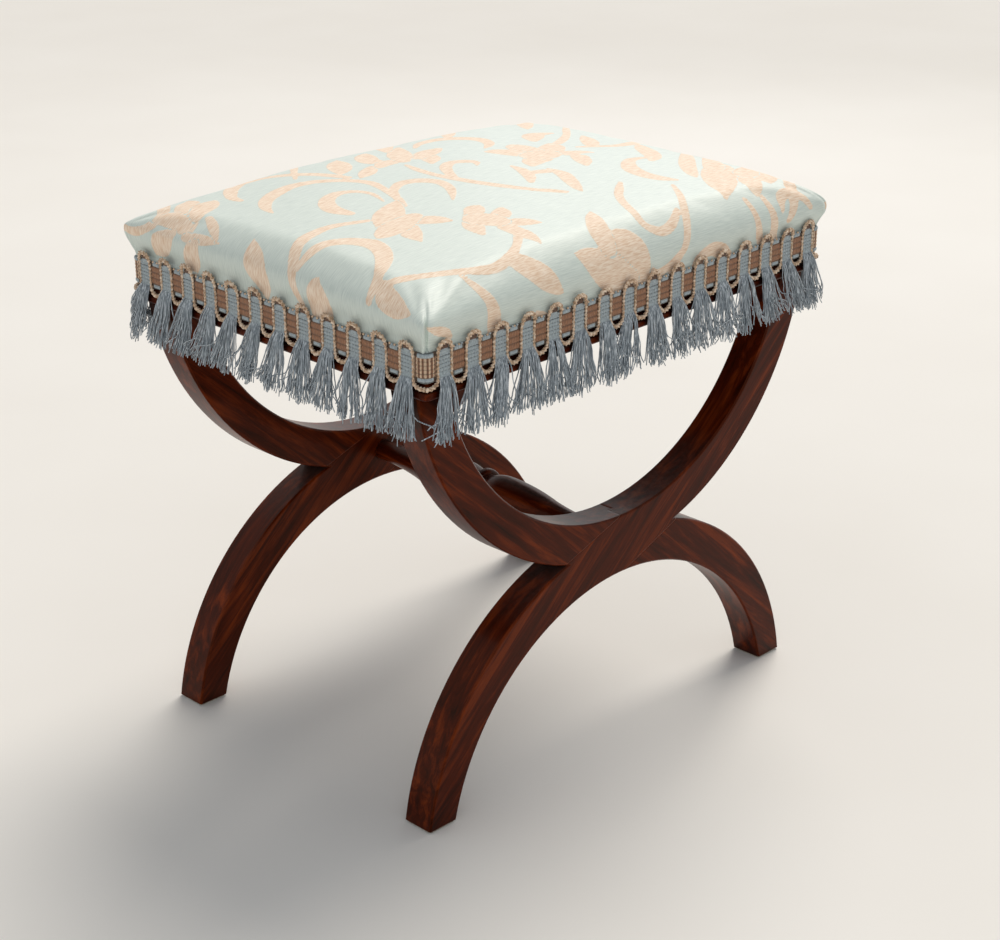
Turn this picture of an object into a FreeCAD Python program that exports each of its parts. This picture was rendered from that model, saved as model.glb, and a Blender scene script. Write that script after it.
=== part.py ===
"""Upholstered X-frame stool: two crossed frames, a turned stretcher and a stuffed, fringed seat.

The origin is on the floor under the middle of the seat. +X runs along the long side of the seat,
+Y from the front frame to the rear one and +Z up. Lengths are millimetres.
"""
import FreeCAD, Part
import math
import os

V = FreeCAD.Vector
UP = V(0, 0, 1)

# Heights above the floor
seat_base_z = 400.0         # underside of the seat, where the arms end
crossing_z = 195.0          # middle of both crossings and of the stretcher
foot_pad_thick = 2.0

# The X frames
frame_setback = 10.4        # from the seat frame's face back to the X frame's
leg_thick = 32.2            # timber thickness, front to back
foot_spread = 480.8         # over the outer edges of a frame's feet
foot_width = 31.7
arm_top_width = 34.5
arch_crown_drop = 28.2      # from the crossing's middle down to the top of the arch
arch_rib_depth = 41.0       # arch to the outer curve of the legs, at the crossing
bowl_bottom_rise = 28.1     # from the crossing's middle up to the bottom of the bowl
bowl_rib_depth = 36.7       # bowl to the outer curve of the arms, at the crossing
leg_edge_bevel = 1.4
shoulder_reach = 6.0        # past the crotch, sideways
shoulder_clearance = 0.8    # above the bowl and below the arch
foot_pad_inset = 1.4
zone_reach = 60.0           # how far a cutting shape runs past the wood
cut_past = 1.0              # how far other cutting shapes run past what they cut

# Turned stretcher, as radii and distances from its middle
ring_radius = 20.3
ring_half_width = 5.0
ring_side_radius = 19.45    # where the ring's curve is fullest, towards each side
ring_side = 3.6
groove_radius = 15.8
groove_end = 8.5
vase_radius = 20.2
vase_peak = 31.0
vase_shoulder_radius = 19.3
vase_shoulder = 19.0
belly_radius = 18.7
belly = 58.0
waist_radius = 14.2
waist = 85.0
neck_radius = 11.1
neck = 108.0
end_radius = 10.2
stretcher_tenon_radius = 8.0
stretcher_tenon_length = 22.0

# Seat frame: polished moulding below, stuffed rails above
seat_length = 494.0
seat_depth = 370.2
rail_width = 44.0
rail_height = 24.0
rail_corner_radius = 4.0
moulding_height = 14.0
bead_height = 8.0
bead_projection = 3.7
bead_round = 3.6
bead_corner_radius = 7.0
level_within = 1e-6         # an edge that rises less than this is level
arm_setback = 0.7           # from the seat frame's end to the arm

# Glue blocks, screws and dowels
block_leg = 40.0
block_height = 21.0
block_screw_spread = 20.0
block_screw_drop = 6.0      # below the top of the rails
screw_radius = 2.1
screw_head_radius = 4.2
screw_head_height = 2.6
screw_length = 32.0
dowel_radius = 4.0
leg_dowel_in_leg = 28.0
leg_dowel_in_rail = 16.0
leg_dowel_spacing = 18.0
leg_dowel_lean = 4.0        # dowels stand this much inside the arm's middle, where it leans in
rail_dowel_length = 60.0
rail_dowel_spacing = 24.0
rail_dowel_rise = 10.0      # above the underside of the rails
glue_gap = 0.05
dowel_end_gap = 1.0

# Webbing, tacks, hessian and dust cover
web_width = 50.0
web_thick = 1.6
web_lap = 32.0
long_web_count = 3
long_web_margin = 28.1      # from the outer straps to the rails
cross_web_count = 4
cross_web_margin = 25.0
web_flat_margin = 4.0
tack_radius = 1.0
tack_length = 10.0
tack_head_radius = 3.0
tack_head_height = 0.7
tack_spread = 34.0
tacks_per_end = 3
tack_edge = 9.0
hessian_thick = 0.8
hessian_lap = 34.0
dust_cover_thick = 0.8
dust_cover_lap = 30.0
dust_cover_gap = 2.5        # to the arms
dust_tack_pitch = 62.0
dust_tack_edge = 6.0

# Cushion
crown_rise = 84.0           # top of the cushion above the moulding
corner_drop = 20.0          # how much lower the crown's corners are
side_rise = 26.0            # from the moulding to where the side starts to swell
bulge_rise = 49.0           # from the moulding to the widest line
bulge = 6.0
cushion_corner_radius = 21.0
skirt_corner_radius = 5.2
least_corner_radius = 0.5   # inside the skirt's corners
cushion_edge_round = 16.0
cover_thick = 1.0
wadding_thick = 5.0
soft_gap = 0.3
skirt_gap = 0.1

# Braid and fringe
braid_bottom_rise = 1.3     # above the moulding
braid_height = 24.4
braid_thick = 2.0
column_pitch = 30.7
first_column = 20.0
tassel_top_width = 11.0
tassel_knee_width = 17.0
tassel_tip_width = 26.0
tassel_bend_drop = 5.5      # down to where it clears the bead
tassel_knee_drop = 11.0
tassel_length = 52.0
tassel_top_thick = 3.6
tassel_knee_thick = 6.0
tassel_tip_thick = 9.5
tassel_gap = 0.3

# Places worked out from the sizes
half_length = seat_length / 2
half_depth = seat_depth / 2
frame_front = frame_setback - half_depth
frame_back = frame_front + leg_thick
frame_middle = frame_front + leg_thick / 2
inner_x = half_length - rail_width
inner_y = half_depth - rail_width
long_web_pitch = (2 * (inner_y - long_web_margin) - web_width) / (long_web_count - 1)
cross_web_pitch = (2 * (inner_x - cross_web_margin) - web_width) / (cross_web_count - 1)
moulding_top = seat_base_z + moulding_height
rail_top = moulding_top + rail_height
web_top = rail_top + 2 * web_thick
pad_base = web_top + hessian_thick
foot_outer = foot_spread / 2
foot_inner = foot_outer - foot_width
arm_outer = half_length - arm_setback
arm_inner = arm_outer - arm_top_width
arch_crown = crossing_z - arch_crown_drop
bowl_bottom = crossing_z + bowl_bottom_rise


def box(x0, x1, y0, y1, z0, z1):
    """A block between two corners."""
    return Part.makeBox(x1 - x0, y1 - y0, z1 - z0, V(x0, y0, z0))


def prism(points, y0, y1):
    """A solid with a straight-sided outline in X and Z, from y0 to y1."""
    corners = [V(x, y0, z) for x, z in points]
    face = Part.Face(Part.makePolygon(corners + corners[:1]))
    return face.extrude(V(0, y1 - y0, 0))


def rounded_outline(half_x, half_y, radius, z):
    """A closed rectangle with round corners, level at height z."""
    x = half_x - radius
    y = half_y - radius
    edges = []
    turns = [(x, y, 0), (-x, y, 90), (-x, -y, 180), (x, -y, 270)]
    for number, (cx, cy, start) in enumerate(turns):
        a, b, c = [math.radians(start + part) for part in (0, 45, 90)]
        ring = [V(cx + radius * math.cos(t), cy + radius * math.sin(t), z) for t in (a, b, c)]
        edges.append(Part.Arc(*ring).toShape())
        nx, ny, angle = turns[(number + 1) % 4]
        angle = math.radians(angle)
        following = V(nx + radius * math.cos(angle), ny + radius * math.sin(angle), z)
        edges.append(Part.makeLine(ring[2], following))
    return Part.Wire(edges)


def rounded_block(half_x, half_y, radius, z0, z1):
    """A rectangular block with round upright corners."""
    return Part.Face(rounded_outline(half_x, half_y, radius, z0)).extrude(V(0, 0, z1 - z0))


def turned(shape, angle):
    """A copy turned about the stool's upright axis."""
    copy = shape.copy()
    copy.rotate(V(0, 0, 0), UP, angle)
    return copy


def mirrored(shape, normal):
    """A copy mirrored in the plane through the stool's middle."""
    return shape.mirror(V(0, 0, 0), normal)


def four_corners(shape):
    """The shape at one corner of the seat, repeated at all four."""
    pair = [shape, mirrored(shape, V(1, 0, 0))]
    return pair + [mirrored(one, V(0, 1, 0)) for one in pair]


def cut_all(shape, tools):
    """The shape less all the tools."""
    return shape.cut(Part.makeCompound(tools))


# X frames


def circle_through(crown_z, half_width, end_z):
    """Centre height and radius of the circle about x = 0 through its crown and one end."""
    centre = (half_width ** 2 + end_z ** 2 - crown_z ** 2) / (2 * (end_z - crown_z))
    return centre, abs(crown_z - centre)


def rib(outer_crown, outer_x, inner_crown, inner_x_end, end_z):
    """A curved rib of a frame: the band between two circles, ending level, with its edges eased."""
    y = frame_front
    edges = [
        Part.Arc(V(-outer_x, y, end_z), V(0, y, outer_crown), V(outer_x, y, end_z)).toShape(),
        Part.makeLine(V(outer_x, y, end_z), V(inner_x_end, y, end_z)),
        Part.Arc(V(inner_x_end, y, end_z), V(0, y, inner_crown), V(-inner_x_end, y, end_z)).toShape(),
        Part.makeLine(V(-inner_x_end, y, end_z), V(-outer_x, y, end_z)),
    ]
    band = Part.Face(Part.Wire(edges)).extrude(V(0, leg_thick, 0))
    long_edges = [e for e in band.Edges if isinstance(e.Curve, Part.Circle)]
    return band.makeChamfer(leg_edge_bevel, long_edges)


def crotch():
    """The point, on the right, where the arms' outer curve meets the legs' outer curve."""
    low_z, low_r = circle_through(arch_crown + arch_rib_depth, foot_outer, foot_pad_thick)
    high_z, high_r = circle_through(bowl_bottom - bowl_rib_depth, arm_outer, seat_base_z)
    z = (high_r ** 2 - low_r ** 2 + low_z ** 2 - high_z ** 2) / (2 * (low_z - high_z))
    return math.sqrt(low_r ** 2 - (z - low_z) ** 2), z


def frame_blank():
    """Both legs of the front frame as one outline."""
    arch = rib(arch_crown + arch_rib_depth, foot_outer, arch_crown, foot_inner, foot_pad_thick)
    bowl = rib(bowl_bottom - bowl_rib_depth, arm_outer, bowl_bottom, arm_inner, seat_base_z)
    return arch.fuse(bowl).removeSplitter()


def left_leg_zone():
    """The space that the front left leg takes out of the blank: halved at the crossing.

    The shoulders' ends lie just clear of the wood, so that they cut its curves cleanly."""
    x, z = crotch()
    x += shoulder_reach
    low = arch_crown - shoulder_clearance
    high = bowl_bottom + shoulder_clearance
    far = foot_spread / 2 + zone_reach
    top = seat_base_z + zone_reach
    outline = [(-x, z), (0, high), (0, top), (far, top), (far, z), (x, z),
               (0, low), (0, -zone_reach), (-far, -zone_reach), (-far, z)]
    halving = [(-x, z), (0, high), (x, z), (0, low)]
    zone = prism(outline, frame_front - zone_reach, frame_back + zone_reach)
    return zone.cut(prism(halving, frame_middle, frame_back + zone_reach))


def front_legs(cutters):
    """The front left and front right legs, halved into each other and drilled."""
    blank = frame_blank()
    zone = left_leg_zone()
    return cut_all(blank.common(zone), cutters), cut_all(blank.cut(zone), cutters)


def stretcher_socket():
    """The hole in the front frame for the stretcher's tenon."""
    depth = stretcher_tenon_length + dowel_end_gap
    radius = stretcher_tenon_radius + glue_gap
    return Part.makeCylinder(radius, depth, V(0, frame_back - depth, crossing_z), V(0, 1, 0))


def turned_stretcher():
    """A vase turned each side of a ring, with a round tenon at each end."""
    shoulder = -frame_back

    def at(radius, distance):
        return V(radius, distance, 0)

    half = [
        Part.Arc(at(ring_radius, 0), at(ring_side_radius, ring_side),
                 at(groove_radius, ring_half_width)).toShape(),
        Part.makeLine(at(groove_radius, ring_half_width), at(groove_radius, groove_end)),
        Part.Arc(at(groove_radius, groove_end), at(vase_shoulder_radius, vase_shoulder),
                 at(vase_radius, vase_peak)).toShape(),
        Part.Arc(at(vase_radius, vase_peak), at(belly_radius, belly), at(waist_radius, waist)).toShape(),
        Part.Arc(at(waist_radius, waist), at(neck_radius, neck), at(end_radius, shoulder)).toShape(),
        Part.makeLine(at(end_radius, shoulder), at(stretcher_tenon_radius, shoulder)),
        Part.makeLine(at(stretcher_tenon_radius, shoulder),
                      at(stretcher_tenon_radius, shoulder + stretcher_tenon_length)),
        Part.makeLine(at(stretcher_tenon_radius, shoulder + stretcher_tenon_length),
                      at(0, shoulder + stretcher_tenon_length)),
        Part.makeLine(at(0, shoulder + stretcher_tenon_length), at(0, 0)),
        Part.makeLine(at(0, 0), at(ring_radius, 0)),
    ]
    solid = Part.Face(Part.Wire(half)).revolve(V(0, 0, 0), V(0, 1, 0), 360)
    whole = solid.fuse(mirrored(solid, V(0, 1, 0))).removeSplitter()
    whole.translate(V(0, 0, crossing_z))
    return whole


def foot_pads():
    """A felt pad under each foot, a little smaller than the wood."""
    pad = box(foot_inner + foot_pad_inset, foot_outer - foot_pad_inset,
              frame_front + foot_pad_inset, frame_back - foot_pad_inset, 0, foot_pad_thick)
    return four_corners(pad)


# Seat frame


def dowel(radius, length, start, direction):
    """A round peg, or with a larger radius the hole for one."""
    return Part.makeCylinder(radius, length, start, direction)


def leg_dowel_places():
    """X and Y of the two pegs that hold one arm."""
    x = (arm_outer + arm_inner) / 2 - leg_dowel_lean
    middle = -frame_middle
    return [(x, middle - leg_dowel_spacing / 2), (x, middle + leg_dowel_spacing / 2)]


def leg_dowels(clearance, end_gap):
    """Pegs up through the moulding into the rails, or their holes."""
    bottom = seat_base_z - leg_dowel_in_leg - end_gap
    length = leg_dowel_in_leg + moulding_height + leg_dowel_in_rail + 2 * end_gap
    pegs = []
    for x, y in leg_dowel_places():
        pegs += four_corners(dowel(dowel_radius + clearance, length, V(x, y, bottom), UP))
    return pegs


def rail_dowels(clearance, end_gap):
    """Pegs between the long rails and the short rails, or their holes."""
    x = (arm_outer + arm_inner) / 2 - leg_dowel_lean
    start = inner_y - rail_dowel_length / 2 - end_gap
    length = rail_dowel_length + 2 * end_gap
    z = moulding_top + rail_dowel_rise
    pegs = []
    for side in (-1, 1):
        place = V(x + side * rail_dowel_spacing / 2, start, z)
        pegs += four_corners(dowel(dowel_radius + clearance, length, place, V(0, 1, 0)))
    return pegs


def wood_screw(seat, direction):
    """A countersunk screw with its flat head at the seat point."""
    head = Part.makeCone(screw_head_radius, screw_radius, screw_head_height, seat, direction)
    shank = Part.makeCylinder(screw_radius, screw_length, seat, direction)
    return head.fuse(shank).removeSplitter()


def block_screws():
    """Two screws through each corner block, square to its long face."""
    middle = V(inner_x - block_leg / 2, inner_y - block_leg / 2, rail_top - block_screw_drop)
    inward = V(1, 1, 0)
    along = V(1, -1, 0)
    along.normalize()
    screws = []
    for side in (-1, 1):
        seat = middle + along * (side * block_screw_spread / 2)
        screws += four_corners(wood_screw(seat, inward))
    return screws


def corner_blocks(cutters):
    """Triangular glue blocks in the corners of the seat frame."""
    z = rail_top - block_height
    corners = [V(inner_x, inner_y, z), V(inner_x - block_leg, inner_y, z),
               V(inner_x, inner_y - block_leg, z)]
    block = Part.Face(Part.makePolygon(corners + corners[:1])).extrude(V(0, 0, block_height))
    return [cut_all(one, cutters) for one in four_corners(block)]


def moulding_ring():
    """The polished base of the seat: a flat frame with a round bead along its lower edge."""
    outer_x = half_length + bead_projection
    outer_y = half_depth + bead_projection
    bead = rounded_block(outer_x, outer_y, bead_corner_radius, seat_base_z, seat_base_z + bead_height)
    rims = [e for e in bead.Edges if abs(e.BoundBox.ZLength) < level_within]
    bead = bead.makeFillet(bead_round, rims)
    flat = rounded_block(half_length, half_depth, rail_corner_radius, seat_base_z, moulding_top)
    hollow = box(-inner_x, inner_x, -inner_y, inner_y, seat_base_z - cut_past, moulding_top + cut_past)
    return bead.fuse(flat).removeSplitter().cut(hollow)


def mitre_zone(half_x, half_y, width, reach):
    """The front quarter of a frame that is mitred at its corners, seen from above."""
    low = seat_base_z - cut_past
    corners = [V(-half_x - reach, -half_y - reach, low), V(half_x + reach, -half_y - reach, low),
               V(half_x - width, -half_y + width, low), V(-half_x + width, -half_y + width, low)]
    return Part.Face(Part.makePolygon(corners + corners[:1])).extrude(V(0, 0, moulding_height + 2 * cut_past))


def mouldings(cutters):
    """The four mitred lengths of moulding, as front, rear, left and right."""
    ring = cut_all(moulding_ring(), cutters)
    front = ring.common(mitre_zone(half_length, half_depth, rail_width, bead_projection + cut_past))
    side_zone = mitre_zone(half_depth, half_length, rail_width, bead_projection + cut_past)
    left = ring.common(turned(side_zone, -90))
    return front, mirrored(front, V(0, 1, 0)), left, mirrored(left, V(1, 0, 0))


def rails(cutters):
    """The four stuffed rails, as front, rear, left and right."""
    block = rounded_block(half_length, half_depth, rail_corner_radius, moulding_top, rail_top)
    front_space = box(-half_length, half_length, -half_depth, -inner_y, moulding_top, rail_top)
    front = cut_all(block.common(front_space), cutters)
    left = cut_all(box(-half_length, -inner_x, -inner_y, inner_y, moulding_top, rail_top), cutters)
    return front, mirrored(front, V(0, 1, 0)), left, mirrored(left, V(1, 0, 0))


# Webbing and cloth under the cushion


def web_places(pitch, count):
    """Middles of the straps, spread evenly about the stool's middle."""
    return [(number - (count - 1) / 2) * pitch for number in range(count)]


def woven_strap(reach, crossings, first_over):
    """A strap along X that passes over and under the straps it crosses."""
    flat = web_width / 2 + web_flat_margin
    low = [(-reach, 0)]
    for number, place in enumerate(crossings):
        level = web_thick if (number + first_over) % 2 else 0
        low += [(place - flat, level), (place + flat, level)]
    low.append((reach, 0))
    outline = low + [(x, z + web_thick) for x, z in reversed(low)]
    strap = prism(outline, -web_width / 2, web_width / 2)
    strap.translate(V(0, 0, rail_top))
    return strap


def long_webs():
    """Straps along X."""
    crossings = web_places(cross_web_pitch, cross_web_count)
    webs = []
    for number, y in enumerate(web_places(long_web_pitch, long_web_count)):
        strap = woven_strap(inner_x + web_lap, crossings, number % 2)
        strap.translate(V(0, y, 0))
        webs.append(strap)
    return webs


def cross_webs():
    """Straps along Y, each over where the long one is under."""
    crossings = web_places(long_web_pitch, long_web_count)
    webs = []
    for number, x in enumerate(web_places(cross_web_pitch, cross_web_count)):
        strap = turned(woven_strap(inner_y + web_lap, crossings, (number + 1) % 2), 90)
        strap.translate(V(x, 0, 0))
        webs.append(strap)
    return webs


def tack(x, y, z, up):
    """A tack with its head at (x, y, z), head up or head down."""
    way = V(0, 0, -1 if up else 1)
    start = V(x, y, z)
    head = Part.makeCylinder(tack_head_radius, tack_head_height, start - way * tack_head_height, way)
    return head.fuse(Part.makeCylinder(tack_radius, tack_length, start, way)).removeSplitter()


def web_tacks():
    """A row of tacks across each end of each strap."""
    spots = web_places(tack_spread / (tacks_per_end - 1), tacks_per_end)
    top = rail_top + web_thick
    end_x = inner_x + web_lap - tack_edge
    end_y = inner_y + web_lap - tack_edge
    tacks = []
    for side in (-1, 1):
        for y in web_places(long_web_pitch, long_web_count):
            tacks += [tack(side * end_x, y + spot, top, True) for spot in spots]
        for x in web_places(cross_web_pitch, cross_web_count):
            tacks += [tack(x + spot, side * end_y, top, True) for spot in spots]
    return tacks


def hessian():
    """Hessian laid over the webbing, under the stuffing."""
    x = inner_x + hessian_lap
    y = inner_y + hessian_lap
    return box(-x, x, -y, y, web_top, pad_base)


def dust_cover_halves():
    """Half sizes of the dust cover, which clears the arms."""
    return arm_inner - dust_cover_gap, inner_y + dust_cover_lap


def dust_tacks():
    """Tacks round the edge of the dust cover, into the moulding."""
    half_x, half_y = dust_cover_halves()
    x = half_x - dust_tack_edge / 2
    y = half_y - dust_tack_edge
    z = seat_base_z - dust_cover_thick
    along = web_places(dust_tack_pitch, int(2 * inner_x // dust_tack_pitch))
    across = web_places(dust_tack_pitch, int(2 * inner_y // dust_tack_pitch))
    tacks = []
    for side in (-1, 1):
        tacks += [tack(spot, side * y, z, False) for spot in along]
        tacks += [tack(side * x, spot, z, False) for spot in across]
    return tacks


def dust_cover(cutters):
    """Thin cloth under the seat frame."""
    half_x, half_y = dust_cover_halves()
    sheet = box(-half_x, half_x, -half_y, half_y, seat_base_z - dust_cover_thick, seat_base_z)
    return cut_all(sheet, cutters)


# Cushion


def cushion_form(inset, bottom):
    """The cushion's outer form shrunk by inset: upright skirt, swelling side, rounded crown."""
    skirt_x = half_length + skirt_gap + cover_thick - inset
    skirt_y = half_depth + skirt_gap + cover_thick - inset
    skirt_round = max(skirt_corner_radius - inset, least_corner_radius)
    wide_x = skirt_x + bulge
    wide_y = skirt_y + bulge
    wide_round = cushion_corner_radius - inset
    swell_z = moulding_top + side_rise
    wide_z = moulding_top + bulge_rise
    crown_z = moulding_top + crown_rise - inset
    swell = Part.makeLoft([rounded_outline(skirt_x, skirt_y, skirt_round, swell_z),
                           rounded_outline(wide_x, wide_y, wide_round, wide_z)], True, True)
    top = rounded_block(wide_x, wide_y, wide_round, wide_z, crown_z + cut_past)
    reach = half_length ** 2 + half_depth ** 2
    crown_radius = (reach + corner_drop ** 2) / (2 * corner_drop) - inset
    ball = Part.makeSphere(crown_radius, V(0, 0, crown_z - crown_radius))
    top = top.common(ball)
    rim = [e for e in top.Edges if e.BoundBox.ZMin > wide_z + cut_past and e.Length > cut_past]
    upright = [e for e in rim if e.BoundBox.ZLength > (crown_z - wide_z) / 2]
    rim = [e for e in rim if not any(e.isSame(other) for other in upright)]
    top = top.makeFillet(cushion_edge_round - inset, rim)
    parts = [swell, top]
    if bottom < swell_z:
        parts.append(rounded_block(skirt_x, skirt_y, skirt_round, bottom, swell_z))
    form = parts[0].multiFuse(parts[1:]).removeSplitter()
    if bottom > swell_z:
        far = seat_length
        form = form.cut(box(-far, far, -far, far, 0, bottom))
    return form


def damask_cover():
    """The woven cover, open below and tacked to the rails behind the braid."""
    bottom = moulding_top + skirt_gap
    return cushion_form(0, bottom).cut(cushion_form(cover_thick, bottom - cut_past))


def wadding():
    """Cotton wadding between the cover and the stuffing."""
    outer = cover_thick + soft_gap
    inner = outer + wadding_thick
    return cushion_form(outer, pad_base + soft_gap).cut(cushion_form(inner, pad_base))


def seat_pad():
    """The stuffing, one firm pad on the hessian."""
    return cushion_form(cover_thick + wadding_thick + 2 * soft_gap, pad_base)


# Braid and fringe


def braid_face():
    """Half sizes of the braid's outer face."""
    stand_off = 2 * skirt_gap + cover_thick + braid_thick
    return half_length + stand_off, half_depth + stand_off


def gimp_braid():
    """The woven braid, one band round the seat."""
    outer_x, outer_y = braid_face()
    z0 = moulding_top + braid_bottom_rise
    z1 = z0 + braid_height
    radius = skirt_corner_radius + skirt_gap + braid_thick
    outer = rounded_block(outer_x, outer_y, radius, z0, z1)
    inner = rounded_block(outer_x - braid_thick, outer_y - braid_thick, radius - braid_thick,
                          z0 - cut_past, z1 + cut_past)
    return outer.cut(inner)


def tassel(x, out, flip):
    """One tassel of the fringe, hanging in front of the bead.

    x is its place along the side, out the braid's outer face, and flip turns it to the short side."""
    top = moulding_top + braid_bottom_rise
    bead_face = out - (2 * skirt_gap + cover_thick + braid_thick) + bead_projection + tassel_gap
    knee = max(out - braid_thick, bead_face)
    rows = [(top, tassel_top_width, out - braid_thick, tassel_top_thick),
            (top - tassel_bend_drop, tassel_top_width, knee, tassel_top_thick),
            (top - tassel_knee_drop, tassel_knee_width, knee, tassel_knee_thick),
            (top - tassel_length, tassel_tip_width, knee, tassel_tip_thick)]
    wires = []
    for z, width, near, thick in rows:
        a, b = x - width / 2, x + width / 2
        corners = [V(a, -near, z), V(b, -near, z), V(b, -near - thick, z), V(a, -near - thick, z)]
        wires.append(Part.makePolygon(corners + corners[:1]))
    shape = Part.makeLoft(wires, True, True)
    return turned(shape, -90) if flip else shape


def fringe_tassels():
    """Tassels under the braid, evenly spaced on each side."""
    face_x, face_y = braid_face()
    tassels = []
    for along, out, flip in ((face_x, face_y, False), (face_y, face_x, True)):
        run = 2 * (along - first_column)
        count = round(run / column_pitch) + 1
        for number in range(count):
            one = tassel(number * run / (count - 1) - run / 2, out, flip)
            tassels += [one, turned(one, 180)]
    return tassels


# All pieces


def stool():
    """Every node's name and shape."""
    sockets = leg_dowels(glue_gap, dowel_end_gap)
    rail_holes = sockets + rail_dowels(glue_gap, dowel_end_gap)
    screws = block_screws()
    strap_tacks = web_tacks()
    cloth_tacks = dust_tacks()
    straps = long_webs()
    crossing_straps = cross_webs()
    front_left, front_right = front_legs(sockets + [stretcher_socket()])
    moulding = mouldings(sockets + cloth_tacks)
    rail = rails(rail_holes + screws + strap_tacks)
    return {
        "front_left_leg": front_left,
        "front_right_leg": front_right,
        "rear_right_leg": turned(front_left, 180),
        "rear_left_leg": turned(front_right, 180),
        "turned_stretcher": turned_stretcher(),
        "foot_pads": Part.makeCompound(foot_pads()),
        "front_moulding": moulding[0],
        "rear_moulding": moulding[1],
        "left_moulding": moulding[2],
        "right_moulding": moulding[3],
        "front_rail": rail[0],
        "rear_rail": rail[1],
        "left_rail": rail[2],
        "right_rail": rail[3],
        "corner_blocks": Part.makeCompound(corner_blocks(screws)),
        "block_screws": Part.makeCompound(screws),
        "leg_dowels": Part.makeCompound(leg_dowels(0, 0)),
        "rail_dowels": Part.makeCompound(rail_dowels(0, 0)),
        "long_webbing": Part.makeCompound([cut_all(one, strap_tacks) for one in straps]),
        "cross_webbing": Part.makeCompound([cut_all(one, strap_tacks) for one in crossing_straps]),
        "webbing_tacks": Part.makeCompound(strap_tacks),
        "hessian": hessian(),
        "seat_pad": seat_pad(),
        "wadding": wadding(),
        "damask_cover": damask_cover(),
        "gimp_braid": gimp_braid(),
        "fringe_tassels": Part.makeCompound(fringe_tassels()),
        "dust_cover": dust_cover(cloth_tacks),
        "dust_cover_tacks": Part.makeCompound(cloth_tacks),
    }


os.makedirs("parts", exist_ok=True)
for node, shape in stool().items():
    solids = shape.Solids
    print(node, len(solids), shape.isValid(), round(sum(one.Volume for one in solids) / 1000, 2))
    shape.exportStep("parts/" + node + ".step")
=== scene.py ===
"""Looks of an upholstered stool on two crossed frames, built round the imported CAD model.

Lengths inside the classes are millimetres in the CAD frame; meshes are written in metres.
"""
import sys
import logging
import math
import random
from dataclasses import dataclass, field
from enum import Enum
from typing import Any, Iterable, Optional, Protocol, Sequence

import bmesh
import bpy
import numpy as np
from mathutils import Matrix, Vector


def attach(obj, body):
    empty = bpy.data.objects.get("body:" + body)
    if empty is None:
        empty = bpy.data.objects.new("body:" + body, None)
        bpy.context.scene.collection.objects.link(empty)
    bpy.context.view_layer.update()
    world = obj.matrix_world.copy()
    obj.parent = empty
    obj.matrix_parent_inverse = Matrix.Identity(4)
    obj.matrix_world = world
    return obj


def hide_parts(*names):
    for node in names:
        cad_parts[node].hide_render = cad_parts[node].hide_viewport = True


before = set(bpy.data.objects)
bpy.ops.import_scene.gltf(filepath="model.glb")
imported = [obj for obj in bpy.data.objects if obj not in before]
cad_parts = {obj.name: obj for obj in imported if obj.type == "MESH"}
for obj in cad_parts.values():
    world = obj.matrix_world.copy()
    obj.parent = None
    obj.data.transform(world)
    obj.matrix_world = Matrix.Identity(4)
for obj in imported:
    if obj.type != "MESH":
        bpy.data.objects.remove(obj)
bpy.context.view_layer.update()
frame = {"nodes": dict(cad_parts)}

log = logging.getLogger("stool")
MM = 0.001
Triple = tuple[float, float, float]
Stroke = Sequence[Triple]       # points of a drawn line, each with its half width


# Small helpers


def linear(code: str) -> tuple[float, float, float, float]:
    """Turns an sRGB hex colour into linear light.

    Args:
        code: the colour, such as "#C8D5CF".

    Returns:
        Red, green and blue in linear light, and an alpha of 1.
    """
    parts = [int(code[i:i + 2], 16) / 255 for i in (1, 3, 5)]
    return tuple(c / 12.92 if c <= 0.04045 else ((c + 0.055) / 1.055) ** 2.4 for c in parts) + (1.0,)


def add_node(tree: bpy.types.NodeTree, kind: str, settings: Optional[dict] = None,
             values: Optional[dict] = None, links: Optional[dict] = None,
             stops: Sequence[tuple[float, str]] = ()) -> bpy.types.Node:
    """Adds one shader node with its settings, socket values and links.

    Args:
        tree: the material's or world's node tree.
        kind: the node's type without its ShaderNode prefix.
        settings: attributes of the node.
        values: input sockets, by name or number, and their values.
        links: input sockets and the output sockets that feed them.
        stops: places and hex colours of a colour ramp.

    Returns:
        The new node.
    """
    node = tree.nodes.new("ShaderNode" + kind)
    for name, value in (settings or {}).items():
        setattr(node, name, value)
    for key, value in (values or {}).items():
        node.inputs[key].default_value = value
    for key, source in (links or {}).items():
        tree.links.new(source, node.inputs[key])
    if stops:
        ramp = node.color_ramp.elements
        while len(ramp) < len(stops):
            ramp.new(0.5)
        for element, (place, code) in zip(ramp, stops):
            element.position = place
            element.color = linear(code)
    return node


def new_material(name: str) -> tuple[bpy.types.Material, bpy.types.NodeTree, bpy.types.Node]:
    """Makes an empty material.

    Args:
        name: the real finish.

    Returns:
        The material, its node tree and its Principled shader.
    """
    material = bpy.data.materials.new(name)
    material.use_nodes = True
    tree = material.node_tree
    return material, tree, tree.nodes["Principled BSDF"]


def feed(tree: bpy.types.NodeTree, shader: bpy.types.Node, values: dict[str, Any],
         links: dict[str, bpy.types.NodeSocket]) -> None:
    """Sets what is the same all over a finish and links what varies.

    Args:
        tree: the material's node tree.
        shader: its Principled shader.
        values: the shader's sockets and their values.
        links: the shader's sockets and the outputs that feed them.
    """
    for name, value in values.items():
        shader.inputs[name].default_value = value
    for name, source in links.items():
        tree.links.new(source, shader.inputs[name])


def smooth_step(value: np.ndarray, low: float, high: float) -> np.ndarray:
    """Zero below low, one above high, and smooth between."""
    t = np.clip((value - low) / (high - low), 0, 1)
    return t * t * (3 - 2 * t)


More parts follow.
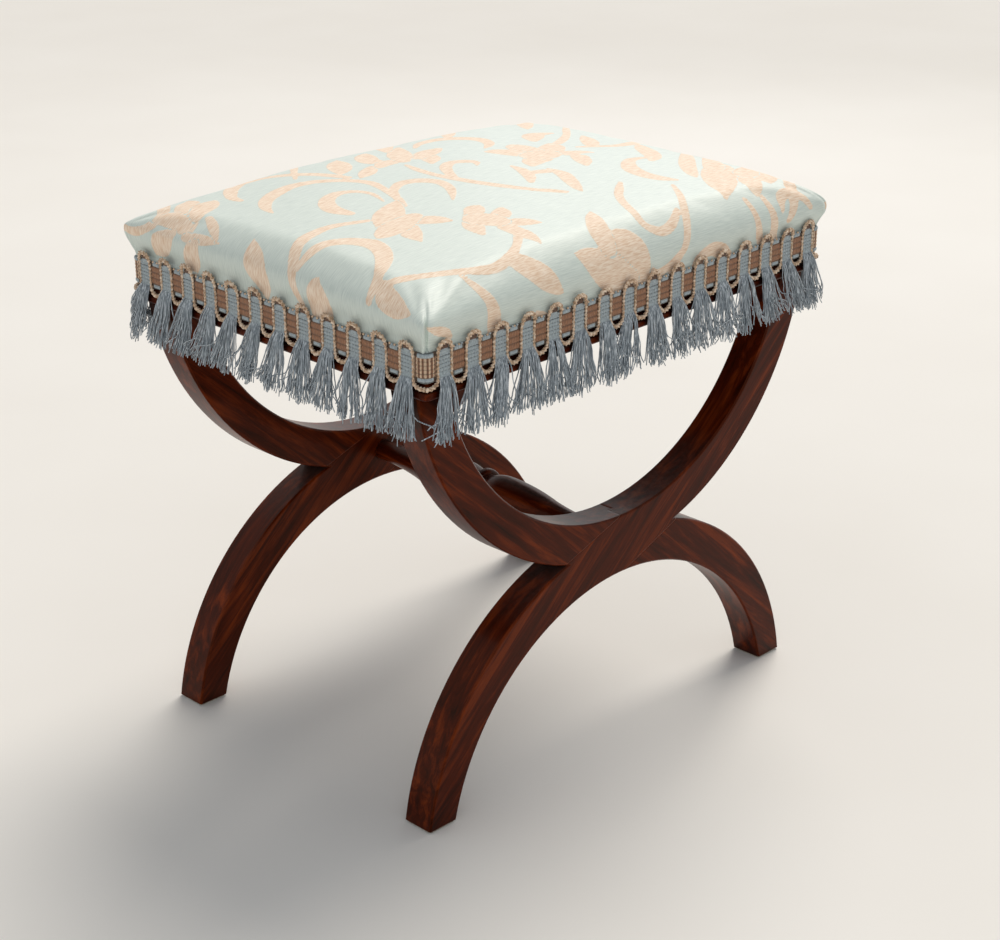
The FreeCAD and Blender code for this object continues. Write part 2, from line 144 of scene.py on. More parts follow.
def grid_mesh(columns: int, rows: int) -> tuple[bmesh.types.BMesh, np.ndarray]:
    """A grid of faces from bmesh, ready to be shaped.

    Args:
        columns: faces along the grid.
        rows: faces across it.

    Returns:
        The bmesh, and for each vertex its column and row number.
    """
    bm = bmesh.new()
    bmesh.ops.create_grid(bm, x_segments=columns, y_segments=rows, size=1)
    flat = np.array([v.co[:2] for v in bm.verts])
    steps = np.array([columns, rows])
    return bm, np.rint((flat + 1) / 2 * steps).astype(int)


def place_vertices(bm: bmesh.types.BMesh, points: np.ndarray) -> None:
    """Moves a bmesh's vertices to points given in millimetres."""
    for vertex, point in zip(bm.verts, points * MM):
        vertex.co = point


def finish_mesh(bm: bmesh.types.BMesh, name: str, material: bpy.types.Material,
                outward: bool = True) -> bpy.types.Object:
    """Turns a bmesh into a piece of the stool.

    Args:
        bm: the shape, which is freed.
        name: the piece's name.
        material: its finish.
        outward: recalculate its normals.

    Returns:
        The new object, at the origin.
    """
    if outward:
        bmesh.ops.recalc_face_normals(bm, faces=bm.faces)
    for face in bm.faces:
        face.smooth = True
    mesh = bpy.data.meshes.new(name)
    bm.to_mesh(mesh)
    bm.free()
    piece = bpy.data.objects.new(name, mesh)
    bpy.context.scene.collection.objects.link(piece)
    mesh.materials.append(material)
    return piece


def set_uv(mesh: bpy.types.Mesh, places: np.ndarray) -> None:
    """Gives a mesh the UV map that its cloth's pattern follows, in metres.

    Args:
        mesh: the mesh.
        places: a place on the cloth for each vertex, in millimetres.
    """
    layer = mesh.uv_layers.new(name="cloth")
    corner = np.empty(len(mesh.loops), dtype=np.int32)
    mesh.loops.foreach_get("vertex_index", corner)
    layer.data.foreach_set("uv", (places[corner] * MM).astype(np.float32).ravel())


def set_attribute(mesh: bpy.types.Mesh, name: str, values: np.ndarray) -> None:
    """Gives a mesh one number per vertex."""
    mesh.attributes.new(name, "FLOAT", "POINT").data.foreach_set("value", values.astype(np.float32))


def take_places(mesh: bpy.types.Mesh, name: str) -> np.ndarray:
    """Reads an attribute that held places on the cloth, and removes it.

    Args:
        mesh: the mesh.
        name: the attribute's name.

    Returns:
        Two numbers for each vertex.
    """
    flat = np.empty(len(mesh.vertices) * 3, dtype=np.float32)
    mesh.attributes[name].data.foreach_get("vector", flat)
    mesh.attributes.remove(mesh.attributes[name])
    return flat.reshape(-1, 3)[:, :2].astype(float)


def vertices_of(mesh: bpy.types.Mesh) -> np.ndarray:
    """Reads a mesh's vertices.

    Args:
        mesh: the mesh.

    Returns:
        One row per vertex, in metres.
    """
    flat = np.empty(len(mesh.vertices) * 3, dtype=np.float32)
    mesh.vertices.foreach_get("co", flat)
    return flat.reshape(-1, 3).astype(float)


def catmull_rom(points: np.ndarray, steps: int) -> np.ndarray:
    """A smooth line through points.

    Args:
        points: one row per point, with any number of columns.
        steps: new points for each run.

    Returns:
        The line's points.
    """
    ends = np.vstack([2 * points[0] - points[1], points, 2 * points[-1] - points[-2]])
    t = (np.arange(steps) / steps)[:, None]
    runs = []
    for a, b, c, d in zip(ends, ends[1:], ends[2:], ends[3:]):
        runs.append(0.5 * (2 * b + (c - a) * t + (2 * a - 5 * b + 4 * c - d) * t ** 2
                           + (3 * b - a - 3 * c + d) * t ** 3))
    return np.vstack(runs + [points[-1:]])


def add_line(data: bpy.types.Curve, points: np.ndarray) -> bpy.types.Spline:
    """Adds an open line to a curve.

    Args:
        data: the curve.
        points: one row per point, in millimetres.

    Returns:
        The line.
    """
    spline = data.splines.new("POLY")
    spline.points.add(len(points) - 1)
    spline.points.foreach_set("co", np.hstack([points * MM, np.ones((len(points), 1))]).ravel())
    return spline


def mesh_from_curve(data: bpy.types.Curve, name: str, material: bpy.types.Material) -> bpy.types.Object:
    """Turns a bevelled curve into a mesh piece.

    Args:
        data: the curve.
        name: the piece's name.
        material: its finish.

    Returns:
        The piece.
    """
    curve = bpy.data.objects.new(name, data)
    bpy.context.scene.collection.objects.link(curve)
    graph = bpy.context.evaluated_depsgraph_get()
    mesh = bpy.data.meshes.new_from_object(curve.evaluated_get(graph))
    bpy.data.objects.remove(curve)
    mesh.materials.clear()
    mesh.materials.append(material)
    mesh.shade_smooth()
    piece = bpy.data.objects.new(name, mesh)
    bpy.context.scene.collection.objects.link(piece)
    return piece


def add_piece(piece: bpy.types.Object, replaced: Sequence[str] = ()) -> None:
    """Puts a piece on the stool's one body.

    Args:
        piece: the piece.
        replaced: the CAD nodes that it stands for.
    """
    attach(piece, "root")
    if replaced:
        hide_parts(*replaced)
    faces = sum(len(polygon.vertices) - 2 for polygon in piece.data.polygons)
    log.info("%s: %d triangles", piece.name, faces)


# Finishes


class Finish(Protocol):
    """What every finish can do."""

    def material(self) -> bpy.types.Material:
        """Builds the finish."""


@dataclass(frozen=True)
class FrenchPolishedMahogany:
    """Mahogany under french polish."""

    # To the eye: long red-brown grain and dark open pores under a warm, clear gloss. Hands have
    # worn the edges lighter. The corners are painted dark, partly for wax and partly as shade, and faces that look up
    # get specks of dust and of a painted grey sheen.
    name: str
    grain: tuple[float, float, float] = (0.0, 0.0, 0.0)     # turns the grain from the X axis
    dark: str = "#1E0501"
    middle: str = "#461303"
    light: str = "#7A300B"
    sheen: str = "#FFB888"          # amber shellac warms what the wood reflects
    pore: str = "#1C0603"
    worn: str = "#8E3D12"
    wax_and_shade: str = "#160503"
    dust_and_sheen: str = "#A39A90"
    figure_width: float = 9.0       # mm across the grain
    pore_width: float = 0.9         # mm; real pores are 0.2 mm, drawn coarser so that they show
    edge_width: float = 1.6         # mm that wear reaches in from an edge
    wax_and_shade_reach: float = 22.0      # mm from a corner that the wax and painted shade reach
    specks: float = 260.0           # of the dust and painted sheen to a metre, 4 mm each

    def material(self) -> bpy.types.Material:
        """Builds the finish.

        Returns:
            The material.
        """
        material, tree, shader = new_material(self.name)
        place = add_node(tree, "TexCoord").outputs["Object"]
        turned = add_node(tree, "Mapping", {"vector_type": "TEXTURE"}, {"Rotation": self.grain},
                          {"Vector": place}).outputs[0]
        long_way = add_node(tree, "Mapping", None, {"Scale": (0.07, 1.0, 1.0)}, {"Vector": turned}).outputs[0]
        fine_way = add_node(tree, "Mapping", None, {"Scale": (0.05, 1.0, 1.0)}, {"Vector": turned}).outputs[0]
        figure = add_node(tree, "TexNoise", None,
                          {"Scale": 1000 / self.figure_width, "Detail": 6.0, "Roughness": 0.62, "Distortion": 0.5},
                          {"Vector": long_way}).outputs[0]
        pores = add_node(tree, "TexNoise", None, {"Scale": 1000 / self.pore_width, "Detail": 2.0},
                         {"Vector": fine_way}).outputs[0]
        open_pores = add_node(tree, "MapRange", None, {1: 0.56, 2: 0.68, 3: 0.0, 4: 0.4}, {0: pores})
        round_normal = add_node(tree, "Bevel", {"samples": 6}, {"Radius": self.edge_width * MM}).outputs[0]
        flat_normal = add_node(tree, "NewGeometry").outputs["Normal"]
        sameness = add_node(tree, "VectorMath", {"operation": "DOT_PRODUCT"}, None,
                            {0: round_normal, 1: flat_normal}).outputs["Value"]
        rubbed = add_node(tree, "MapRange", None, {1: 0.995, 2: 0.90, 3: 0.0, 4: 0.30}, {0: sameness})
        # painted shade and dark wax: ambient occlusion darkens the colour near corners and crotches
        corner = add_node(tree, "AmbientOcclusion", {"samples": 6}, {"Distance": self.wax_and_shade_reach * MM})
        wax_and_shade_mask = add_node(tree, "MapRange", None, {1: 0.30, 2: 0.75, 3: 0.85, 4: 0.0}, {0: corner.outputs["AO"]})
        # dust and painted sheen: faces that look up get grey specks, partly dust and partly a painted grey sheen
        upward = add_node(tree, "SeparateXYZ", None, None, {0: flat_normal}).outputs[2]
        dust_and_sheen_film = add_node(tree, "MapRange", None, {1: 0.80, 2: 1.0, 3: 0.0, 4: 0.15}, {0: upward}).outputs[0]
        specks = add_node(tree, "TexNoise", None, {"Scale": self.specks, "Detail": 5.0}, {"Vector": place})
        dust_and_sheen_spots = add_node(tree, "Math", {"operation": "MULTIPLY"}, None, {0: dust_and_sheen_film, 1: specks.outputs[0]})
        colour = add_node(tree, "ValToRGB", None, None, {0: figure},
                          [(0.30, self.dark), (0.5, self.middle), (0.72, self.light)]).outputs[0]
        for amount, tone in ((open_pores, self.pore), (rubbed, self.worn), (wax_and_shade_mask, self.wax_and_shade), (dust_and_sheen_spots, self.dust_and_sheen)):
            colour = add_node(tree, "Mix", {"data_type": "RGBA"}, {7: linear(tone)},
                              {0: amount.outputs[0], 6: colour}).outputs[2]
        gloss = add_node(tree, "MapRange", None, {1: 0.0, 2: 0.3, 3: 0.30, 4: 0.55}, {0: dust_and_sheen_spots.outputs[0]})
        bump = add_node(tree, "Bump", None, {"Strength": 0.12, "Distance": 0.4 * MM},
                        {"Height": pores, "Normal": round_normal})
        feed(tree, shader,
             {"Specular Tint": linear(self.sheen), "Specular IOR Level": 0.12, "Coat Weight": 0.05,
              "Coat Roughness": 0.08},
             {"Base Color": colour, "Roughness": gloss.outputs[0], "Normal": bump.outputs[0]})
        return material


@dataclass(frozen=True)
class PlanedBeech:
    """Planed beech without polish."""

    # To the eye: pale, even and matt, with short brown flecks along the grain.
    name: str = "planed_beech"
    light: str = "#D9BC93"
    dark: str = "#B08D63"
    fleck: str = "#8A6642"
    figures: float = 120.0          # to a metre, 8 mm each
    flecks: float = 900.0           # to a metre; real ones are 0.3 mm wide, drawn coarser to show

    def material(self) -> bpy.types.Material:
        """Builds the finish.

        Returns:
            The material.
        """
        material, tree, shader = new_material(self.name)
        place = add_node(tree, "TexCoord").outputs["Object"]
        along = add_node(tree, "Mapping", None, {"Scale": (0.12, 0.12, 1.0)}, {"Vector": place}).outputs[0]
        figure = add_node(tree, "TexNoise", None, {"Scale": self.figures, "Detail": 5.0}, {"Vector": along})
        flecks = add_node(tree, "TexNoise", None, {"Scale": self.flecks, "Detail": 2.0}, {"Vector": along})
        colour = add_node(tree, "ValToRGB", None, None, {0: figure.outputs[0]},
                          [(0.3, self.dark), (0.7, self.light)])
        shown = add_node(tree, "MapRange", None, {1: 0.6, 2: 0.7, 3: 0.0, 4: 0.6}, {0: flecks.outputs[0]})
        mixed = add_node(tree, "Mix", {"data_type": "RGBA"}, {7: linear(self.fleck)},
                         {0: shown.outputs[0], 6: colour.outputs[0]})
        bump = add_node(tree, "Bump", None, {"Strength": 0.2, "Distance": 0.3 * MM}, {"Height": flecks.outputs[0]})
        feed(tree, shader, {"Roughness": 0.62}, {"Base Color": mixed.outputs[2], "Normal": bump.outputs[0]})
        return material


@dataclass(frozen=True)
class SmallSteel:
    """Steel of screws and tacks."""

    # To the eye: small bright or blue-black heads with fine tool marks and a few dull brown spots.
    name: str
    colour: str
    roughness: float
    dull: str = "#3A3633"
    spots: float = 700.0            # to a metre, 1.4 mm each

    def material(self) -> bpy.types.Material:
        """Builds the finish.

        Returns:
            The material.
        """
        material, tree, shader = new_material(self.name)
        place = add_node(tree, "TexCoord").outputs["Object"]
        spots = add_node(tree, "TexNoise", None, {"Scale": self.spots, "Detail": 4.0}, {"Vector": place}).outputs[0]
        rough = add_node(tree, "MapRange", None, {1: 0.4, 2: 0.7, 3: self.roughness, 4: self.roughness + 0.2},
                         {0: spots})
        dulled = add_node(tree, "MapRange", None, {1: 0.55, 2: 0.75, 3: 0.0, 4: 0.4}, {0: spots})
        tone = add_node(tree, "Mix", {"data_type": "RGBA"}, {6: linear(self.colour), 7: linear(self.dull)},
                        {0: dulled.outputs[0]})
        feed(tree, shader, {"Metallic": 1.0}, {"Base Color": tone.outputs[2], "Roughness": rough.outputs[0]})
        return material


@dataclass(frozen=True)
class PlainWeave:
    """Jute webbing, hessian or black calico: two crossing sets of threads."""

    # To the eye: a matt cloth whose threads show as rows of small humps, with thicker places. The hollows between the
    # humps are painted darker as shade.
    name: str
    light: str
    dark: str
    spacing: float                  # mm between threads, drawn coarser than real to show
    depth: float = 0.3              # mm from a thread's top to the hollows beside it
    slubs: float = 90.0             # thick places to a metre, 11 mm each

    def material(self) -> bpy.types.Material:
        """Builds the finish.

        Returns:
            The material.
        """
        material, tree, shader = new_material(self.name)
        place = add_node(tree, "TexCoord").outputs["Object"]
        scale = 1000 / self.spacing / 2 / math.pi
        waves = [add_node(tree, "TexWave", {"bands_direction": direction},
                          {"Scale": scale, "Distortion": 0.6, "Detail": 1.0, "Detail Scale": 3.0},
                          {"Vector": place}).outputs["Fac"] for direction in "XY"]
        woven = add_node(tree, "Math", {"operation": "MULTIPLY"}, None, dict(enumerate(waves))).outputs[0]
        slub = add_node(tree, "TexNoise", None, {"Scale": self.slubs, "Detail": 5.0}, {"Vector": place}).outputs[0]
        # painted shade: thread tops lighter and the hollows between them darker; the slubs change the tone at random
        height = add_node(tree, "Math", {"operation": "MULTIPLY_ADD"}, {1: 0.7}, {0: woven, 2: slub}).outputs[0]
        colour = add_node(tree, "ValToRGB", None, None, {0: height}, [(0.35, self.dark), (1.0, self.light)])
        bump = add_node(tree, "Bump", None, {"Strength": 0.5, "Distance": self.depth * MM}, {"Height": woven})
        feed(tree, shader, {"Roughness": 0.85, "Sheen Weight": 0.2},
             {"Base Color": colour.outputs[0], "Normal": bump.outputs[0]})
        return material


@dataclass(frozen=True)
class SatinDamask:
    """Duck-egg satin damask with peach figures."""

    # To the eye: a ground with a soft sheen and faint streaks along its warp. The figures are more
    # matt, stand a little proud and show ground threads between their own.
    name: str = "satin_damask"
    ground: str = "#C6D2CB"
    ground_light: str = "#D9E3DB"
    figure: str = "#E4C4A5"
    figure_light: str = "#FAE8D3"
    warp: tuple[float, float] = (14.0, 0.75)    # mm that a thread shows along and across; real
    weft: tuple[float, float] = (9.0, 1.0)      # threads are 0.2 mm, drawn coarser to show

    def material(self) -> bpy.types.Material:
        """Builds the finish.

        Returns:
            The material.
        """
        material, tree, shader = new_material(self.name)
        cloth = add_node(tree, "UVMap", {"uv_map": "cloth"}).outputs[0]
        threads = []
        for (along, across), detail in ((self.warp, 2.0), (self.weft, 3.0)):
            way = add_node(tree, "Mapping", None, {"Scale": (1000 / along, 1000 / across, 1.0)}, {"Vector": cloth})
            threads.append(add_node(tree, "TexNoise", {"noise_dimensions": "2D"}, {"Scale": 1.0, "Detail": detail},
                                    {"Vector": way.outputs[0]}).outputs[0])
        warp, weft = threads
        distance = add_node(tree, "Attribute", {"attribute_name": "figure"}).outputs["Fac"]
        ragged = add_node(tree, "Math", {"operation": "MULTIPLY_ADD"}, {1: 1.3, 2: -0.65}, {0: weft})
        edge = add_node(tree, "Math", {"operation": "ADD"}, None, {0: distance, 1: ragged.outputs[0]})
        inside = add_node(tree, "MapRange", None, {1: 0.35, 2: -0.35, 3: 0.0, 4: 1.0},
                          {0: edge.outputs[0]}).outputs[0]
        ground = add_node(tree, "ValToRGB", None, None, {0: warp}, [(0.3, self.ground), (0.7, self.ground_light)])
        figure = add_node(tree, "ValToRGB", None, None, {0: weft}, [(0.34, self.figure), (0.66, self.figure_light)])
        colour = add_node(tree, "Mix", {"data_type": "RGBA"}, None,
                          {0: inside, 6: ground.outputs[0], 7: figure.outputs[0]})
        rough = add_node(tree, "MapRange", None, {3: 0.47, 4: 0.66}, {0: inside})
        proud = add_node(tree, "MapRange", {"interpolation_type": "SMOOTHSTEP"}, {1: 0.8, 2: -0.8, 3: 0.0, 4: 1.0},
                         {0: distance})
        relief = add_node(tree, "Math", {"operation": "MULTIPLY_ADD"}, {1: 0.22}, {0: warp, 2: proud.outputs[0]})
        bump = add_node(tree, "Bump", None, {"Strength": 0.55, "Distance": 0.22 * MM},
                        {"Height": relief.outputs[0]})
        feed(tree, shader, {"Sheen Weight": 0.25, "Sheen Roughness": 0.4, "Specular IOR Level": 0.7},
             {"Base Color": colour.outputs[2], "Roughness": rough.outputs[0], "Normal": bump.outputs[0]})
        return material


@dataclass(frozen=True)
class GimpYarn:
    """Rayon yarns of the gimp braid, wrapped crosswise in finer thread."""

    # To the eye: soft ribs in blue-grey, brown and tan, mottled. The hollows between the ribs and the channels beside
    # the columns are painted darker as shade.
    name: str = "gimp_braid_yarn"
    brown: str = "#A0704F"
    blue_grey: str = "#A3AFB4"
    tan: str = "#D8BB9D"
    wrap: float = 1.05              # mm between the wrapping threads
    mottles: tuple[float, float, float] = (900.0, 420.0, 1.0)   # to a metre, 1.1 by 2.4 mm each

    def material(self) -> bpy.types.Material:
        """Builds the finish.

        Returns:
            The material.
        """
        material, tree, shader = new_material(self.name)
        strip = add_node(tree, "UVMap", {"uv_map": "cloth"}).outputs[0]
        yarn, lift = (add_node(tree, "Attribute", {"attribute_name": name}).outputs["Fac"]
                      for name in ("yarn", "lift"))
        wraps = add_node(tree, "TexWave", None, {"Scale": 1000 / self.wrap / math.tau * 2, "Distortion": 1.2,
                                                "Detail": 1.0, "Detail Scale": 200.0}, {"Vector": strip})
        way = add_node(tree, "Mapping", None, {"Scale": self.mottles}, {"Vector": strip}).outputs[0]
        mottle = add_node(tree, "TexNoise", None, {"Scale": 1.0, "Detail": 3.0}, {"Vector": way}).outputs[0]
        base = add_node(tree, "ValToRGB", None, None, {0: yarn},
                        [(0.0, self.brown), (0.22, self.brown), (0.28, self.tan), (0.60, self.tan),
                         (0.68, self.blue_grey), (1.0, self.blue_grey)])
        tone = add_node(tree, "MapRange", None, {1: 0.3, 2: 0.7, 3: 0.72, 4: 1.22}, {0: mottle})
        # painted shade: the lower the braid's relief, the darker the yarn, so hollows and channels look shaded
        hollow_shade = add_node(tree, "MapRange", None, {1: 0.0, 2: 0.75, 3: 0.16, 4: 1.0}, {0: lift})
        depth = add_node(tree, "Math", {"operation": "MULTIPLY"}, None, {0: tone.outputs[0], 1: hollow_shade.outputs[0]})
        toned = add_node(tree, "VectorMath", {"operation": "SCALE"}, None,
                         {0: base.outputs[0], "Scale": depth.outputs[0]})
        bump = add_node(tree, "Bump", None, {"Strength": 0.5, "Distance": 0.4 * MM},
                        {"Height": wraps.outputs["Fac"]})
        feed(tree, shader, {"Roughness": 0.62, "Sheen Weight": 0.15},
             {"Base Color": toned.outputs[0], "Normal": bump.outputs[0]})
        return material


@dataclass(frozen=True)
class LooseYarn:
    """Spun rayon yarn of the fringe or the twisted cord."""

    # To the eye: a silky lustre, and a tone that changes from yarn to yarn and along each.
    name: str
    dark: str
    middle: str
    light: str
    across: float                   # mm between changes across the yarns
    along: float                    # and along them
    roughness: float
    fibres: float = 2600.0          # to a metre; real ones are 0.02 mm, drawn coarser to show

    def material(self) -> bpy.types.Material:
        """Builds the finish.

        Returns:
            The material.
        """
        material, tree, shader = new_material(self.name)
        place = add_node(tree, "TexCoord").outputs["Object"]
        scale = (1000 / self.across, 1000 / self.across, 1000 / self.along)
        way = add_node(tree, "Mapping", None, {"Scale": scale}, {"Vector": place}).outputs[0]
        tones = add_node(tree, "TexNoise", None, {"Scale": 1.0, "Detail": 2.0}, {"Vector": way})
        colour = add_node(tree, "ValToRGB", None, None, {0: tones.outputs[0]},
                          [(0.34, self.dark), (0.5, self.middle), (0.66, self.light)])
        fibre = add_node(tree, "TexNoise", None, {"Scale": self.fibres, "Detail": 1.0}, {"Vector": place})
        bump = add_node(tree, "Bump", None, {"Strength": 0.35, "Distance": 0.2 * MM}, {"Height": fibre.outputs[0]})
        feed(tree, shader, {"Roughness": self.roughness, "Sheen Weight": 0.2},
             {"Base Color": colour.outputs[0], "Normal": bump.outputs[0]})
        return material


@dataclass(frozen=True)
class PressedFelt:
    """Thick pressed wool felt."""

    # To the eye: pale and quite matt, with short matted fibres and some floor dirt.
    name: str = "pressed_felt"
    light: str = "#CDC4B4"
    dark: str = "#8C8170"
    tufts: float = 900.0            # to a metre, 1.1 mm each

    def material(self) -> bpy.types.Material:
        """Builds the finish.

        Returns:
            The material.
        """
        material, tree, shader = new_material(self.name)
        place = add_node(tree, "TexCoord").outputs["Object"]
        tufts = add_node(tree, "TexNoise", None, {"Scale": self.tufts, "Detail": 6.0}, {"Vector": place}).outputs[0]
        colour = add_node(tree, "ValToRGB", None, None, {0: tufts}, [(0.3, self.dark), (0.65, self.light)])
        bump = add_node(tree, "Bump", None, {"Strength": 0.6, "Distance": 0.4 * MM}, {"Height": tufts})
        feed(tree, shader, {"Roughness": 0.95}, {"Base Color": colour.outputs[0], "Normal": bump.outputs[0]})
        return material


# Studio


class LightKind(Enum):
    """A light's kind, with the setting that holds its size."""

    SUN = "angle"
    AREA = "size"


@dataclass
class Studio:
    """Camera, lamps and the plain pale floor."""

    eye: Triple = (-1272.9, -1285.2, 973.4)
    target: Triple = (3.906, -16.59, 218.31)
    roll: float = -0.098
    lens: float = 74.84
    sensor: float = 36.0
    far: float = 50.0               # metres that the camera sees
    lamp_aim: Triple = (0.0, 0.0, 0.4)
    key_angle: float = 38.0         # degrees, so that its shadows are soft
    floor_colour: str = "#EFEDE9"
    floor_shade: str = "#E9E6E1"
    floor_size: float = 60.0
    floor_clouds: float = 3.0       # to a metre
    sky_colour: str = "#F2F4F6"
    sky_strength: float = 0.46      # as light on the stool; the camera sees a white of 1

    def camera(self) -> None:
        """Puts the camera where the photograph was taken from."""
        data = bpy.data.cameras.new("photo_camera")
        data.lens = self.lens
        data.sensor_width = self.sensor
        data.clip_end = self.far
        camera = bpy.data.objects.new("photo_camera", data)
        bpy.context.scene.collection.objects.link(camera)
        eye, target = Vector(self.eye) * MM, Vector(self.target) * MM
        look = (target - eye).to_track_quat("-Z", "Y").to_matrix().to_4x4()
        camera.matrix_world = Matrix.Translation(eye) @ look @ Matrix.Rotation(math.radians(self.roll), 4, "Z")
        bpy.context.scene.camera = camera

    def light(self, name: str, kind: LightKind, place: Triple, size: float, strength: float, colour: str) -> None:
        """Adds one soft light.

        Args:
            name: the light's name.
            kind: a sun, which lights evenly from one direction, or a square lamp.
            place: where a lamp stands, in metres, or the direction that a sun comes from.
            size: a lamp's width in metres, or how wide a sun looks in radians.
            strength: a lamp's power in watts, or a sun's strength.
            colour: hex colour of its light.
        """
        data = bpy.data.lights.new(name, kind.name)
        setattr(data, kind.value, size)
        data.energy = strength
        data.color = linear(colour)[:3]
        light = bpy.data.objects.new(name, data)
        aim = Vector(self.lamp_aim if kind is LightKind.AREA else (0, 0, 0))
        light.location = place
        light.rotation_euler = (aim - Vector(place)).to_track_quat("-Z", "Y").to_euler()
        bpy.context.scene.collection.objects.link(light)

    def floor(self) -> None:
        """Lays the floor, of matt paper without marks."""
        material, tree, shader = new_material("studio_paper")
        place = add_node(tree, "TexCoord").outputs["Object"]
        clouds = add_node(tree, "TexNoise", None, {"Scale": self.floor_clouds, "Detail": 2.0}, {"Vector": place})
        colour = add_node(tree, "Mix", {"data_type": "RGBA"},
                          {6: linear(self.floor_colour), 7: linear(self.floor_shade)}, {0: clouds.outputs[0]})
        feed(tree, shader, {"Roughness": 0.9, "Specular IOR Level": 0.1}, {"Base Color": colour.outputs[2]})
        bm = bmesh.new()
        bmesh.ops.create_grid(bm, x_segments=1, y_segments=1, size=self.floor_size)
        finish_mesh(bm, "studio_floor", material, outward=False)

    def sky(self) -> None:
        """Sets pale surroundings: dim as light, and white to the camera and in what is glossy or clear."""
        world = bpy.data.worlds.new("studio")
        bpy.context.scene.world = world
        world.use_nodes = True
        tree = world.node_tree
        rays = add_node(tree, "LightPath").outputs
        seen = rays["Is Camera Ray"]
        for ray in ("Is Glossy Ray", "Is Transmission Ray"):
            seen = add_node(tree, "Math", {"operation": "ADD"}, None, {0: seen, 1: rays[ray]}).outputs[0]
        strength = add_node(tree, "MapRange", None, {3: self.sky_strength, 4: 1.0}, {0: seen})
        feed(tree, tree.nodes["Background"], {"Color": linear(self.sky_colour)}, {"Strength": strength.outputs[0]})

    def build(self) -> None:
        """Sets the whole studio up."""
        bpy.context.scene.view_settings.view_transform = "Standard"
        self.camera()
        self.light("key_light", LightKind.SUN, (1.0, 0.35, 1.3), math.radians(self.key_angle), 2.2, "#FFF8EE")
        self.light("window_lamp", LightKind.AREA, (1.9, 1.3, 1.5), 1.3, 7, "#FFFFFF")
        self.light("fill_lamp", LightKind.AREA, (-1.8, -1.9, 1.5), 1.6, 6, "#EEF4FF")
        self.floor()
        self.sky()


# Seat outline, shared by the braid, the cord and the fringe


class Side(Enum):
    """The seat's four sides, with the quarter turns from the front one."""

    FRONT = 0
    RIGHT = 1
    REAR = 2
    LEFT = 3


@dataclass
class SeatOutline:
    """The braid's outer face round the seat, and the places of the fringe's columns."""

    half_length: float = 250.2
    half_depth: float = 188.3
    corner: float = 7.3
    braid_bottom: float = 415.3
    pitch: float = 30.7
    first_column: float = 20.0

    def halves(self, side: Side) -> tuple[float, float]:
        """Half a side's length, and the distance of its face from the stool's middle.

        Args:
            side: the side of the seat.

        Returns:
            Both distances.
        """
        pair = (self.half_length, self.half_depth)
        return pair if side.value % 2 == 0 else pair[::-1]

    def reach(self, side: Side) -> float:
        """Distance along the face from the side's middle to the middle of the corner's bend."""
        return self.halves(side)[0] - self.corner + self.corner * math.pi / 4

    def columns(self, side: Side) -> np.ndarray:
        """Middles of a side's columns.

        Args:
            side: the side of the seat.

        Returns:
            Their distances from the side's middle.
        """
        run = 2 * (self.halves(side)[0] - self.first_column)
        count = round(run / self.pitch) + 1
        return np.linspace(-run / 2, run / 2, count)

    def place(self, side: Side, along: np.ndarray, out: np.ndarray, rise: np.ndarray) -> np.ndarray:
        """Places on the seat's edge.

        Args:
            side: the side of the seat.
            along: distance along the face from the side's middle.
            out: distance outwards from the face.
            rise: height above the braid's lower edge.

        Returns:
            One X, Y and Z per place.
        """
        along, out, rise = np.broadcast_arrays(*(np.asarray(a, dtype=float) for a in (along, out, rise)))
        half, face = self.halves(side)
        straight = half - self.corner
        bend = np.clip(np.abs(along) - straight, 0, None) / self.corner
        radius = self.corner + out
        x = np.sign(along) * (np.minimum(np.abs(along), straight) + radius * np.sin(bend))
        y = -(face - self.corner + radius * np.cos(bend))
        for _ in range(side.value):
            x, y = -y, x
        return np.stack([x, y, self.braid_bottom + rise], axis=-1)
